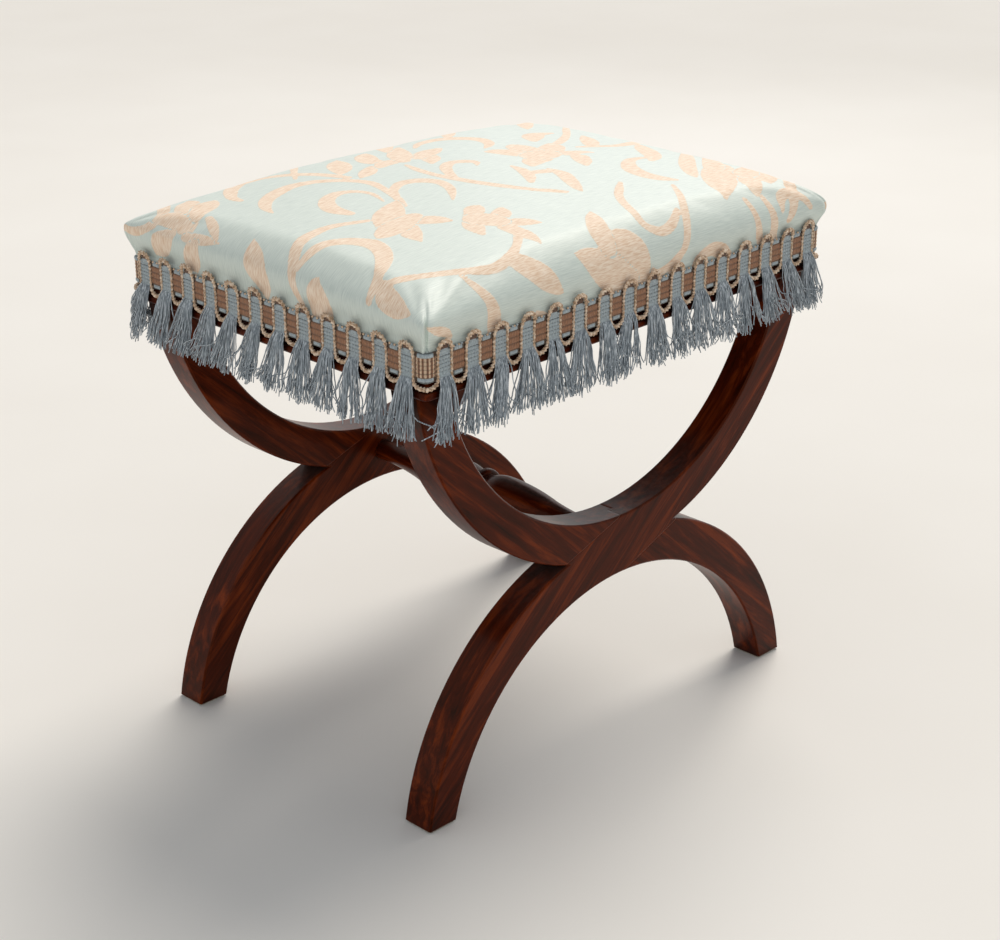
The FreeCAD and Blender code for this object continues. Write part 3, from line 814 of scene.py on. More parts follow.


# Cushion


# Figures of the damask, drawn on the flat cloth. Each line is a run of (X, Y, half width) in
# millimetres, with X along the seat, Y towards its rear and the sides folded out flat.
STEMS_AND_LEAVES = (
    # left end
    ((-262, 200, 3), (-265, 180, 5), (-256, 163, 6), (-240, 158, 6), (-224, 175, 6), (-212, 192, 5), (-203, 205, 4)),
    ((-285, 3, 2), (-272, 8, 10), (-258, 19, 12), (-238, 34, 1)),
    ((-296, -72, 9), (-275, -64, 14), (-262, -60, 8), (-252, -60, 1)),
    ((-182, 117, 3), (-180, 132, 5), (-167, 150, 7), (-150, 164, 8), (-128, 180, 8), (-103, 194, 5), (-60, 199, 3)),
    ((-191, 62, 1), (-184, 80, 5), (-170, 96, 7), (-150, 106, 8), (-130, 110, 7), (-110, 104, 6), (-95, 91, 5),
     (-84, 74, 5), (-81, 58, 5), (-86, 38, 4), (-93, 18, 4), (-100, 2, 4), (-110, -14, 4)),
    ((-150, 160, 2), (-125, 158, 4), (-108, 146, 5), (-94, 128, 5), (-86, 108, 5), (-81, 90, 4)),
    ((-153, 6, 5), (-155, 22, 8), (-150, 38, 8), (-138, 52, 7), (-122, 58, 6), (-108, 51, 4), (-103, 36, 3),
     (-107, 20, 2), (-112, 8, 1)),
    ((-92, 12, 2), (-84, 26, 4), (-66, 37, 6), (-50, 32, 7), (-42, 16, 6), (-46, -2, 5), (-56, -18, 4), (-72, -36, 1)),
    ((-77, 104, 2), (-66, 117, 10), (-55, 133, 11), (-43, 150, 1)),
    ((-74, 80, 2), (-60, 88, 8), (-46, 98, 6), (-40, 104, 1)),
    ((-292, -48, 2), (-272, -36, 4), (-252, -28, 5), (-232, -16, 6), (-208, -9, 6), (-186, -8, 5), (-166, -16, 4),
     (-150, -24, 3)),
    ((-252, -34, 2), (-234, -34, 5), (-214, -37, 7), (-200, -48, 8), (-193, -66, 9), (-199, -85, 8), (-214, -103, 7),
     (-234, -116, 5), (-258, -124, 3)),
    ((-138, -168, 3), (-130, -176, 10), (-116, -190, 11), (-102, -204, 5), (-95, -209, 1)),
    ((-190, -168, 2), (-184, -182, 4), (-177, -200, 6), (-172, -220, 8), (-172, -245, 9)),
    ((-238, -126, 4), (-248, -138, 10), (-254, -155, 10), (-254, -174, 2)),
    ((-245, -126, 3), (-228, -136, 5), (-208, -148, 5), (-188, -160, 5), (-170, -169, 5), (-152, -172, 5),
     (-134, -167, 5), (-116, -156, 4), (-100, -141, 4), (-88, -128, 3)),
    ((-252, -203, 2), (-240, -207, 4), (-228, -211, 4), (-220, -218, 2)),
    ((-124, -220, 2), (-112, -230, 6), (-100, -244, 5)),
    # middle
    ((-18, 82, 2), (-24, 60, 4), (-27, 35, 4), (-25, 10, 5), (-21, -12, 5), (-12, -38, 5), (2, -64, 4), (16, -86, 2)),
    ((-24, 10, 3), (-14, 30, 5), (-2, 46, 6), (12, 54, 6), (24, 48, 6), (28, 38, 4), (20, 28, 1)),
    ((38, 130, 2), (55, 142, 5), (78, 144, 7), (96, 133, 8), (106, 114, 8), (100, 94, 6), (88, 82, 4), (77, 76, 1)),
    ((92, 142, 2), (105, 155, 7), (118, 168, 6), (126, 176, 1)),
    ((42, 6, 2), (38, -12, 6), (28, -30, 6), (16, -44, 3)),
    ((60, -24, 3), (58, -42, 7), (47, -62, 7), (36, -80, 5), (30, -92, 1)),
    ((36, -22, 5), (50, -26, 6), (60, -30, 5)),
    ((0, -62, 4), (10, -74, 5), (18, -84, 3)),
    # right end
    ((250, 135, 3), (228, 112, 3), (210, 95, 4), (190, 76, 4), (168, 60, 5), (148, 49, 5), (125, 40, 4)),
    ((246, 186, 9), (230, 172, 10), (210, 152, 9), (195, 135, 6), (185, 124, 1)),
    ((140, 72, 4), (155, 88, 11), (168, 96, 9), (184, 92, 4)),
    ((160, 17, 2), (172, 27, 8), (186, 44, 8), (198, 62, 2)),
    ((214, 4, 2), (202, -12, 8), (192, -28, 10), (178, -46, 8), (164, -56, 3)),
    ((168, -44, 3), (150, -44, 5), (134, -54, 7), (121, -70, 9), (116, -88, 9), (119, -104, 8), (128, -116, 3)),
    ((78, -94, 2), (62, -107, 4), (44, -123, 4), (30, -143, 4), (21, -163, 4), (20, -178, 4), (34, -186, 4),
     (52, -182, 4), (68, -172, 3)),
    ((112, -126, 2), (100, -142, 3), (84, -163, 4), (70, -182, 4), (58, -200, 4), (46, -218, 5), (36, -240, 5),
     (32, -256, 5)),
    ((4, -192, 3), (8, -208, 4), (22, -219, 4), (38, -216, 4), (50, -206, 3)),
    ((155, -178, 3), (158, -200, 4), (166, -226, 5), (168, -250, 5)),
    ((178, -176, 3), (181, -200, 5), (184, -225, 6), (183, -250, 6)),
    ((194, -196, 2), (200, -184, 5), (214, -180, 5), (226, -186, 5), (232, -198, 3)),
    ((68, -230, 1), (78, -218, 5), (94, -212, 7), (110, -218, 8), (120, -232, 8), (124, -250, 6)),
    ((256, 55, 1), (259, 30, 7), (257, 8, 1)),
    ((256, -20, 2), (258, -45, 6), (256, -70, 2)),
    # back edge
    ((-40, 199, 2), (40, 196, 4), (100, 193, 3), (150, 190, 4), (190, 198, 2)),
)

# Flowers, each a set of petals that overlap: a thin line of ground shows round each petal.
FLOWERS = (
    # flower at the left end
    (((-250, 112, 6), (-235, 128, 14), (-215, 150, 12), (-206, 163, 3)),
     ((-232, 118, 6), (-210, 132, 12), (-196, 138, 4)),
     ((-245, 120, 7), (-240, 145, 10), (-246, 160, 3)),
     ((-255, 112, 5), (-253, 92, 6), (-251, 68, 1)),
     ((-228, 105, 4), (-238, 88, 5), (-248, 74, 2)),
     ((-280, 155, 3), (-268, 143, 12), (-255, 130, 5)),
     ((-292, 112, 3), (-275, 103, 11), (-258, 97, 5))),
    # flower near the middle of the back
    (((-22, 100, 5), (-27, 120, 10), (-18, 138, 10), (-8, 150, 3)),
     ((20, 95, 9), (12, 80, 9), (0, 66, 2)),
     ((10, 95, 8), (30, 103, 11), (48, 108, 4)),
     ((-38, 95, 4), (-25, 102, 9), (-5, 100, 8)),
     ((-8, 95, 6), (5, 115, 12), (18, 132, 9), (30, 145, 3))),
    # round flower right of the middle
    (((110, 25, 14), (130, 38, 12), (140, 50, 4)),
     ((98, 30, 14), (104, 56, 13), (108, 70, 3)),
     ((85, 30, 12), (78, 52, 12), (68, 62, 4)),
     ((85, 12, 14), (68, 4, 10), (57, -6, 3)),
     ((120, 10, 10), (135, 5, 6), (142, -2, 2)),
     ((118, -8, 9), (108, -22, 8), (97, -36, 2)),
     ((88, 20, 15), (95, 20, 17), (102, 20, 15))),
    # large tulip over the front edge, on the right
    (((216, -94, 4), (200, -108, 14), (175, -128, 17), (152, -150, 13), (134, -172, 2)),
     ((226, -134, 2), (208, -142, 9), (190, -152, 11), (180, -166, 8), (174, -176, 2)),
     ((228, -70, 4), (212, -90, 10), (196, -104, 10)),
     ((238, -38, 2), (218, -54, 6), (196, -72, 8), (176, -90, 8), (160, -108, 6), (152, -120, 1))),
    # tulip over the front edge
    (((-34, -184, 10), (-12, -190, 16), (0, -205, 12), (6, -225, 8)),
     ((-50, -240, 6), (-30, -232, 16), (-8, -236, 14), (8, -245, 4)),
     ((-72, -183, 1), (-56, -192, 11), (-36, -206, 16), (-16, -222, 16)),
     ((-8, -137, 1), (-18, -150, 7), (-30, -170, 11), (-34, -184, 9))),
    # flower at the front
    (((-118, -118, 3), (-110, -100, 9), (-98, -85, 8), (-86, -70, 5), (-80, -60, 2)),
     ((-90, -80, 8), (-78, -68, 9), (-70, -64, 3)),
     ((-84, -100, 8), (-70, -92, 9), (-60, -82, 3)),
     ((-84, -112, 8), (-72, -120, 9), (-62, -130, 2)),
     ((-92, -120, 8), (-93, -142, 8), (-95, -165, 1)),
     ((-94, -88, 13), (-90, -95, 15), (-88, -104, 12))),
    # spray of leaves left of the middle
    (((-103, 2, 1), (-118, -10, 9), (-138, -26, 14), (-158, -44, 8)),
     ((-146, -56, 10), (-156, -74, 9), (-163, -93, 1)),
     ((-132, -50, 10), (-120, -62, 10), (-113, -74, 3)),
     ((-124, -42, 8), (-150, -50, 13), (-168, -56, 10), (-180, -60, 2))),
)


@dataclass
class DamaskCushion:
    """The crowned, stuffed seat in its damask cover, from the rails' lower edge to the crown.

    The cloth starts as a flat grid that is folded over the stuffing. A cloth simulation under a
    little pressure settles it, held by the skirt under the braid."""

    crown: float = 495.5
    crown_half: tuple[float, float] = (247.0, 185.1)
    crown_falls: Triple = (12.3, 7.2, 0.6)      # how far the top falls to its sides, and more at its corners
    inner_x: float = 220.0          # where the top starts to turn down
    inner_y: float = 158.0
    shoulder: float = 33.6          # how far the widest line stands out from there
    tuck: float = 5.7               # how far the side draws in again down to the braid
    widest_z: float = 462.0
    widest_half: tuple[float, float] = (254.0, 192.0)
    widest_twist: float = 4.0       # the widest line is this much higher at the left corner
    shoulder_rise: float = 21.0     # about the height of the shoulder, for the cloth's length over it
    braid_top: float = 440.0
    bottom: float = 414.3
    wide_corner: float = 11.0       # radius of the corners at the widest line
    skirt_corner: float = 5.2
    corner_flare: float = 4.6       # how far the stuffing pushes the corners out
    flare_run: float = 30.0
    flare_ends: Triple = (4.0, 40.0, 16.0)      # down from the top's edge it grows, and fades above the braid
    step: float = 5.0
    pressure: float = 3.0
    stiffness: float = 12.0
    bending: float = 1.5
    most_move: float = 3.4
    frames: int = 20
    corner_point: tuple[float, float] = (256.0, 194.0)
    pleat_reach: float = 26.0       # from the corner
    pleat_top: tuple[float, float] = (466.0, 479.0)     # it fades between these heights
    pleat_deep: float = 3.6
    pleat_half: float = 1.6
    lip_high: float = 1.6           # the folded edge beside the pleat stands up
    lip_half: float = 2.4
    lip_away: float = 4.2
    side_start: tuple[float, float] = (247.5, 185.6)
    pull: float = 0.28              # small waves where the tacks hold the cloth
    pull_run: float = 8.3
    turned_in: tuple[tuple[float, float], ...] = ((0.9, 0.0), (0.0, 27.9))      # inwards, then up
    petal_gap: float = 1.25
    petal_reach: float = 8.0
    least_half: float = 0.6         # of a stroke's width
    sample_steps: int = 6
    reach: float = 24.0             # distances from the figures are worked out this far
    hangs_past: tuple[float, float] = (-264.0, -200.0)      # such strokes show on a hidden side too

    def crown_height(self, x: np.ndarray, y: np.ndarray) -> np.ndarray:
        """Height of the top, pulled down towards the sides and slightly uneven.

        Args:
            x: places along the seat.
            y: places across it.

        Returns:
            The height at each place.
        """
        a, b = x / self.crown_half[0], y / self.crown_half[1]
        rise = self.crown - self.crown_falls @ np.array([a ** 2, b ** 2, (a * b) ** 2])
        uneven = 0.6 * np.sin(x / 61 + 0.7) * np.cos(y / 47 - 0.4) + 0.3 * np.sin(x / 29 - y / 37 + 1.9)
        return rise + uneven

    def profile(self) -> tuple[np.ndarray, np.ndarray, np.ndarray, np.ndarray]:
        """The side's section from the top's edge down.

        Returns:
            Arc length, distance outwards, height (a share of the rise above the widest line, then
            minus the millimetres below it), and corner radius.
        """
        angle = np.linspace(0, math.pi / 2, 48)
        over = self.shoulder * np.sin(angle)
        down = np.linspace(0, 1, 26)[1:]
        swell = self.shoulder - self.tuck * (1 - np.cos(down * math.pi / 2))
        depth = down * (self.widest_z - self.braid_top)
        low = np.array([self.widest_z - self.bottom])
        out = np.concatenate([over, swell, swell[-1:]])
        height = np.concatenate([np.cos(angle), -depth, -low])
        round_top = self.wide_corner * (1 - np.exp(-over / self.wide_corner))
        fall = smooth_step(down, 0, 1)
        round_side = round_top[-1] + (self.skirt_corner - round_top[-1]) * fall
        radius = np.concatenate([round_top, round_side, round_side[-1:]])
        real = np.where(height > 0, height * self.shoulder_rise, height)
        arc = np.concatenate([[0], np.cumsum(np.hypot(np.diff(out), np.diff(real)))])
        return arc, out, height, radius

    def stations(self, inner: float, arc: np.ndarray) -> np.ndarray:
        """Places of the grid lines across the flat cloth, from one lower edge to the other.

        Args:
            inner: where the top starts to turn down.
            arc: arc lengths down the side.

        Returns:
            The places, closer together down the sides.
        """
        half = np.linspace(0, inner, round(inner / self.step) + 1)
        sides = np.linspace(0, arc[-2], round(arc[-2] / self.step * 1.15) + 1)[1:]
        skirt = np.linspace(arc[-2], arc[-1], 4)[1:]
        half = np.concatenate([half, inner + sides, inner + skirt])
        return np.concatenate([-half[:0:-1], half])

    def fold(self, flat: np.ndarray) -> tuple[np.ndarray, np.ndarray]:
        """Folds the flat cloth over the stuffing.

        Args:
            flat: X and Y on the flat cloth, one row per vertex.

        Returns:
            Each vertex's place in the seat, and its place on the cloth for the figures.
        """
        arc, out, share, radius = self.profile()
        inner = np.array([self.inner_x, self.inner_y])
        side = np.abs(flat) - inner
        sign = np.sign(flat)
        drop = np.clip(side.max(axis=1), 0, None)
        on_x = side[:, 0] >= side[:, 1]
        e, r, h = (np.interp(drop, arc, column) for column in (out, radius, share))
        lesser = np.clip(side.min(axis=1), 0, None)
        bend = math.pi / 4 * lesser / np.maximum(drop, 1e-9)
        bend = np.where(on_x, bend, math.pi / 2 - bend)
        in_corner = (side > 0).all(axis=1)
        centre = inner + (e - r)[:, None]
        turned = centre + r[:, None] * np.stack([np.cos(bend), np.sin(bend)], axis=1)
        beyond = drop > 0
        straight = np.abs(flat) * np.where(beyond[:, None], centre / inner, 1.0)
        straight[:, 0] = np.where(beyond & on_x, inner[0] + e, straight[:, 0])
        straight[:, 1] = np.where(beyond & ~on_x, inner[1] + e, straight[:, 1])
        place = np.where(in_corner[:, None], turned, straight)
        starts, full, fades = self.flare_ends
        swell = smooth_step(drop, starts, full) * (1 - smooth_step(drop, arc[-2] - fades, arc[-2]))
        far = inner + e[:, None] - place
        flare = self.corner_flare * np.exp(-(far / self.flare_run) ** 2).min(axis=1) * swell
        place = place + flare[:, None] * np.exp(-(far / self.flare_run) ** 2)
        top = self.crown_height(sign[:, 0] * place[:, 0], sign[:, 1] * place[:, 1])
        shares = sign * place / np.array(self.widest_half)
        twist = self.widest_twist * (shares[:, 1] - shares[:, 0]) / 2
        widest = self.widest_z + twist
        z = np.where(h > 0, widest + (top - widest) * h,
                     widest + h * (widest - self.bottom) / (self.widest_z - self.bottom))
        cloth = np.where(beyond[:, None] & np.stack([on_x, ~on_x], axis=1), inner + drop[:, None], place)
        cloth = np.where(beyond[:, None], cloth, np.abs(flat)) * sign
        return np.column_stack([place * sign, z]), cloth

    def settle(self, piece: bpy.types.Object) -> None:
        """Lets a cloth simulation settle the cover over its stuffing.

        Args:
            piece: the folded cover; its mesh is moved.
        """
        start = vertices_of(piece.data)
        held = piece.vertex_groups.new(name="held")
        low = [int(i) for i in np.flatnonzero(start[:, 2] < (self.braid_top + 1.5) * MM)]
        held.add(low, 1.0, "REPLACE")
        cloth = piece.modifiers.new("settle", "CLOTH")
        cloth.settings.vertex_group_mass = held.name
        cloth.settings.quality = 4
        cloth.settings.tension_stiffness = self.stiffness
        cloth.settings.compression_stiffness = self.stiffness
        cloth.settings.bending_stiffness = self.bending
        cloth.settings.use_pressure = True
        cloth.settings.uniform_pressure_force = self.pressure
        cloth.settings.effector_weights.gravity = 0
        cloth.point_cache.frame_end = self.frames
        for frame_number in range(1, self.frames + 1):
            bpy.context.scene.frame_set(frame_number)
        graph = bpy.context.evaluated_depsgraph_get()
        moved = vertices_of(piece.evaluated_get(graph).data) - start
        piece.modifiers.remove(cloth)
        piece.vertex_groups.remove(held)
        bpy.context.scene.frame_set(1)
        size = np.linalg.norm(moved, axis=1, keepdims=True)
        log.info("cover settled by %.1f mm at most", size.max() / MM)
        moved *= np.minimum(1, self.most_move * MM / np.maximum(size, 1e-9))
        piece.data.vertices.foreach_set("co", (start + moved).astype(np.float32).ravel())

    def smooth_copy(self, piece: bpy.types.Object) -> bpy.types.Mesh:
        """Subdivides the cover once.

        Args:
            piece: the settled cover.

        Returns:
            A finer mesh, which keeps its places on the cloth.
        """
        finer = piece.modifiers.new("finer", "SUBSURF")
        finer.levels = finer.render_levels = 1
        graph = bpy.context.evaluated_depsgraph_get()
        mesh = bpy.data.meshes.new_from_object(piece.evaluated_get(graph), preserve_all_data_layers=True,
                                               depsgraph=graph)
        piece.modifiers.remove(finer)
        return mesh

    def pleat(self, points: np.ndarray) -> np.ndarray:
        """Presses a pleat into each corner, and the small pulls of the tacked cloth into the sides.

        Args:
            points: the cover's vertices, in metres.

        Returns:
            The moved vertices.
        """
        x, y, z = np.abs(points[:, 0]) / MM, np.abs(points[:, 1]) / MM, points[:, 2] / MM
        far_x, far_y = self.corner_point[0] - x, self.corner_point[1] - y
        near = np.exp(-(np.maximum(far_x, far_y) / self.pleat_reach) ** 2) * (z > self.bottom + 0.5)
        low = 1 - smooth_step(z, *self.pleat_top)
        across = far_x - far_y - 2.0
        groove = self.lip_high * np.exp(-((across + self.lip_away) / self.lip_half) ** 2)
        groove -= self.pleat_deep * np.exp(-(across / self.pleat_half) ** 2)
        out = np.stack([np.sign(points[:, 0]), np.sign(points[:, 1]), np.zeros(len(x))], axis=1) * math.sqrt(0.5)
        on_side = smooth_step(np.maximum(x - self.side_start[0], y - self.side_start[1]), 0, 2)
        held = (z > self.braid_top) * (1 - smooth_step(z, self.braid_top + 6, self.widest_z))
        waves = self.pull * np.sin((points[:, 0] + 2 * points[:, 1]) / MM / self.pull_run)
        return points + out * ((groove * low * near + waves * on_side * held) * MM)[:, None]

    def figure_distance(self, cloth: np.ndarray, line: Stroke, turn: int) -> tuple[np.ndarray, np.ndarray]:
        """Signed distance to one stroke's edge, below zero inside.

        Args:
            cloth: places on the cloth.
            line: the stroke.
            turn: 1, or -1 to turn it half round the seat's middle.

        Returns:
            The numbers of the places near the stroke, and their distances.
        """
        smooth = catmull_rom(np.array(line, dtype=float) * (turn, turn, 1), self.sample_steps)
        low, high = smooth[:, :2].min(axis=0) - self.reach, smooth[:, :2].max(axis=0) + self.reach
        near = np.flatnonzero(((cloth > low) & (cloth < high)).all(axis=1))
        spot = cloth[near]
        best = np.full(len(near), self.reach)
        for a, b in zip(smooth, smooth[1:]):
            run = b[:2] - a[:2]
            t = np.clip((spot - a[:2]) @ run / max(run @ run, 1e-9), 0, 1)
            half = np.maximum(a[2] + t * (b[2] - a[2]), self.least_half)
            best = np.minimum(best, np.hypot(*(spot - a[:2] - t[:, None] * run).T) - half)
        return near, best

    def hangs_over(self, line: Stroke) -> bool:
        """Whether a stroke hangs over the front or left edge."""
        return any(min(point[axis] for point in line) < self.hangs_past[axis] for axis in (0, 1))

    def figures(self, cloth: np.ndarray) -> np.ndarray:
        """Draws the figures, and those over a seen edge once more over the edge opposite.

        Args:
            cloth: places on the cloth.

        Returns:
            Signed distance from each place to the nearest figure's edge, below zero inside.
        """
        distance = np.full(len(cloth), self.reach)
        for turn in (1, -1):
            for line in STEMS_AND_LEAVES:
                if turn > 0 or self.hangs_over(line):
                    near, gap = self.figure_distance(cloth, line, turn)
                    distance[near] = np.minimum(distance[near], gap)
            for flower in FLOWERS:
                if turn < 0 and not any(self.hangs_over(line) for line in flower):
                    continue
                for line in flower:
                    near, gap = self.figure_distance(cloth, line, turn)
                    old = distance[near]
                    parted = np.where(np.abs(gap) < self.petal_reach, np.maximum(old, self.petal_gap - gap), old)
                    distance[near] = np.minimum(parted, gap)
        return distance

    def close_underneath(self, bm: bmesh.types.BMesh) -> None:
        """Turns the lower edge in over the rails and closes the form above the webbing.

        Args:
            bm: the cover, open below.
        """
        rim = [edge for edge in bm.edges if edge.is_boundary]
        for inwards, rise in self.turned_in:
            made = bmesh.ops.extrude_edge_only(bm, edges=rim)["geom"]
            for vertex in (v for v in made if isinstance(v, bmesh.types.BMVert)):
                vertex.co.x -= math.copysign(inwards * MM, vertex.co.x)
                vertex.co.y -= math.copysign(inwards * MM, vertex.co.y)
                vertex.co.z += rise * MM
            rim = [e for e in made if isinstance(e, bmesh.types.BMEdge) and e.is_boundary]
        bmesh.ops.contextual_create(bm, geom=rim)

    def build(self) -> None:
        """Makes the cushion and its figures."""
        arc = self.profile()[0]
        across, deep = (self.stations(inner, arc) for inner in (self.inner_x, self.inner_y))
        bm, number = grid_mesh(len(across) - 1, len(deep) - 1)
        points, cloth = self.fold(np.stack([across[number[:, 0]], deep[number[:, 1]]], axis=1))
        place_vertices(bm, points)
        layer = bm.verts.layers.float_vector.new("flat")
        for vertex, (u, w) in zip(bm.verts, cloth):
            vertex[layer] = (u, w, 0)
        piece = finish_mesh(bm, "damask_cushion", SatinDamask().material(), outward=False)
        self.settle(piece)
        bm = bmesh.new()
        bm.from_mesh(self.smooth_copy(piece))
        points = self.pleat(np.array([v.co for v in bm.verts]))
        for vertex, point in zip(bm.verts, points):
            vertex.co = point
        self.close_underneath(bm)
        bmesh.ops.recalc_face_normals(bm, faces=bm.faces)
        mesh = piece.data
        bm.to_mesh(mesh)
        bm.free()
        mesh.shade_smooth()
        cloth = take_places(mesh, "flat")
        set_uv(mesh, cloth)
        set_attribute(mesh, "figure", self.figures(cloth))
        add_piece(piece, ("damask_cover", "wadding", "seat_pad"))


# Braid


@dataclass
class Braid:
    """The woven gimp: ribbed blue-grey columns, brown blocks between them, and wider corner blocks."""

    outline: SeatOutline
    height: float = 24.4
    thick: float = 1.9
    column_half: float = 6.6
    channel: float = 8.3            # where the blocks start, past the cord's channel
    along_step: float = 0.75
    rise_step: float = 0.55
    warp_pitch: float = 3.3         # between the warps that split a column's ribs
    tick_pitch: float = 1.9         # between the threads of a block
    dash_pitch: float = 3.5         # between the corner block's beads
    column_rows: tuple[float, ...] = (3.9, 7.0, 10.1, 13.2, 16.3, 19.4, 21.8)   # edges of its ribs
    column_ends: tuple[tuple[float, float], ...] = ((0.0, 4.2), (21.4, 24.4))
    block_rows: tuple[float, ...] = (4.6, 9.9, 15.2, 20.4)
    corner_rows: tuple[float, ...] = (4.4, 7.8, 11.2, 14.6, 18.0, 21.2)
    trim_rows: tuple[tuple[float, float], ...] = ((1.0, 4.3), (20.7, 24.2))
    trim_halves: tuple[float, float] = (4.6, 7.4)       # on a block, and on a corner block
    picots: tuple[tuple[float, float], ...] = ((-4.4, 0.45), (-1.5, 1.0), (1.4, 0.45), (4.3, 1.0))

    def bars(self, rise: np.ndarray, edges: Sequence[float], high: float) -> np.ndarray:
        """Round bars one over the other.

        Args:
            rise: height on the braid.
            edges: the bars' edges, from the lowest up.
            high: how far they stand out.

        Returns:
            Relief at each height.
        """
        relief = np.zeros_like(rise)
        for low, top in zip(edges, edges[1:]):
            t = (rise - (low + top) / 2) / ((top - low) / 2)
            relief = np.maximum(relief, high * np.sqrt(np.clip(1 - t ** 2, 0, 1)))
        return relief

    def relief(self, side: Side, along: np.ndarray, rise: np.ndarray) -> tuple[np.ndarray, np.ndarray]:
        """How far the braid stands out at each place, and which yarn shows there.

        Args:
            side: the side of the seat.
            along: distance along it.
            rise: height above the braid's lower edge.

        Returns:
            Relief, and the yarn: 0 brown, 0.45 tan, 1 blue-grey.
        """
        columns = self.outline.columns(side)
        nearest = np.abs(along[:, None] - columns).min(axis=1)
        past = np.abs(along) > columns[-1]
        from_middle = np.where(past, self.outline.reach(side) - np.abs(along), self.outline.pitch / 2 - nearest)
        warps, ticks, dashes = (np.cos(math.tau * place / pitch) for place, pitch in (
            (nearest, self.warp_pitch), (from_middle, self.tick_pitch), (from_middle, self.dash_pitch)))
        ends = self.bars(rise, self.column_ends[0], 1.5) + self.bars(rise, self.column_ends[1], 1.3)
        column_bars = np.maximum(self.bars(rise, self.column_rows, 1.2) * (0.78 + 0.22 * warps), ends)
        column, block = nearest < self.column_half, nearest > self.channel
        block_bars = self.bars(rise, self.block_rows, 1.0) * (0.7 + 0.3 * ticks)
        corner_bars = self.bars(rise, self.corner_rows, 1.0) * (0.62 + 0.38 * dashes)
        outer = (rise < self.trim_rows[0][1]) | (rise > self.trim_rows[1][0] - 0.1)
        trim_half = np.where(past, self.trim_halves[1], self.trim_halves[0])
        trim = (from_middle < trim_half) & outer
        trim_bars = np.maximum(*(self.bars(rise, rows, 1.2) for rows in self.trim_rows))
        trim_bars = trim_bars * smooth_step(trim_half - from_middle, 0.0, 0.9)
        plain = np.where((rise > 1.6) & (rise < 23.6), np.where(past, corner_bars, block_bars), 0.0)
        # in the cord's channel the relief is zero, which the yarn's finish paints darkest as shade
        out = np.where(column, column_bars, np.where(block, np.where(trim, trim_bars, plain), 0.0))
        bead = past & ~trim & (dashes > -0.1)
        edge_bead = ~past & block & ~trim & outer
        yarn = np.where(column | (trim & block), 1.0, np.where(bead | edge_bead, 0.45, 0.0))
        return out, yarn

    def strip(self, side: Side, material: bpy.types.Material) -> bpy.types.Object:
        """One side's length of braid, closed all round.

        Args:
            side: the side of the seat.
            material: its yarns.

        Returns:
            The piece.
        """
        reach = self.outline.reach(side)
        columns = round(2 * reach / self.along_step)
        rows = round(self.height / self.rise_step)
        bm, number = grid_mesh(columns, rows + 3)
        along = (number[:, 0] / columns * 2 - 1) * reach
        front = np.clip(number[:, 1] - 1, 0, rows)
        rise = front / rows * self.height
        behind = (number[:, 1] == 0) | (number[:, 1] >= rows + 2)
        rise = np.where(number[:, 1] == rows + 3, 0.0, rise)
        relief, yarn = self.relief(side, along, rise)
        rim = (front == 0) | (front == rows)
        out = np.where(behind, -self.thick, np.where(rim, -0.6, relief - 0.2))
        place_vertices(bm, self.outline.place(side, along, out, rise))
        shown = bm.verts.layers.float.new("yarn")
        # the relief, which the yarn's finish turns into painted shade in the hollows
        lifted = bm.verts.layers.float.new("lift")
        spot = bm.verts.layers.float_vector.new("spot")
        for vertex, kind, lift, x, z in zip(bm.verts, yarn, relief, along, rise):
            vertex[shown], vertex[lifted], vertex[spot] = kind, lift, (x, z, 0)
        bmesh.ops.remove_doubles(bm, verts=bm.verts, dist=1e-6)
        bmesh.ops.holes_fill(bm, edges=[e for e in bm.edges if e.is_boundary], sides=0)
        piece = finish_mesh(bm, f"{side.name.lower()}_braid", material)
        set_uv(piece.data, take_places(piece.data, "spot"))
        return piece

    def knobs(self, material: bpy.types.Material) -> bpy.types.Object:
        """Round ends of the columns inside the cord's loops, dark pads behind the loops' arches (partly brown threads,
        partly painted shade), and picots on the blocks.

        Args:
            material: their yarns.

        Returns:
            The piece.
        """
        bm = bmesh.new()
        shown = bm.verts.layers.float.new("yarn")
        # the relief, which the yarn's finish turns into painted shade
        lifted = bm.verts.layers.float.new("lift")
        rng = random.Random(31)
        for side in Side:
            columns = self.outline.columns(side)
            middles = (columns[:-1] + columns[1:]) / 2
            spots = [(x, 0.2, 24.3, (4.3, 1.2, 1.9), 1.0, 1.0) for x in columns]
            # dark brown pads behind the cord's arches, given a low lift so that they render near black: partly brown
            # threads, partly painted shade under the arches
            spots += [(x, 0.3, 27.0, (5.2, 0.9, 3.6), 0.0, 0.12) for x in columns]
            for x in middles:
                spots += [(x + step + rng.uniform(-0.4, 0.4), 0.1, 24.5 + rng.uniform(-0.2, 0.5),
                           (1.25, 0.9, 1.1), kind, 1.0) for step, kind in self.picots]
            for x, out, rise, (wide, deep, tall), kind, lift in spots:
                place = self.outline.place(side, np.array(x), np.array(out), np.array(rise))
                turn = Matrix.Rotation(side.value * math.pi / 2, 4, "Z")
                size = Matrix.Diagonal((wide * MM, deep * MM, tall * MM, 1))
                made = bmesh.ops.create_icosphere(bm, subdivisions=2 if wide > 2 else 1, radius=1,
                                                  matrix=Matrix.Translation(Vector(place) * MM) @ turn @ size)
                for vertex in made["verts"]:
                    vertex[shown], vertex[lifted] = kind, lift
        piece = finish_mesh(bm, "braid_knobs", material)
        set_uv(piece.data, vertices_of(piece.data)[:, [0, 2]] / MM)
        return piece

    def build(self) -> None:
        """Makes the braid's four sides and their small ends."""
        material = GimpYarn().material()
        for side in Side:
            add_piece(self.strip(side, material), ("gimp_braid",))
        add_piece(self.knobs(material))


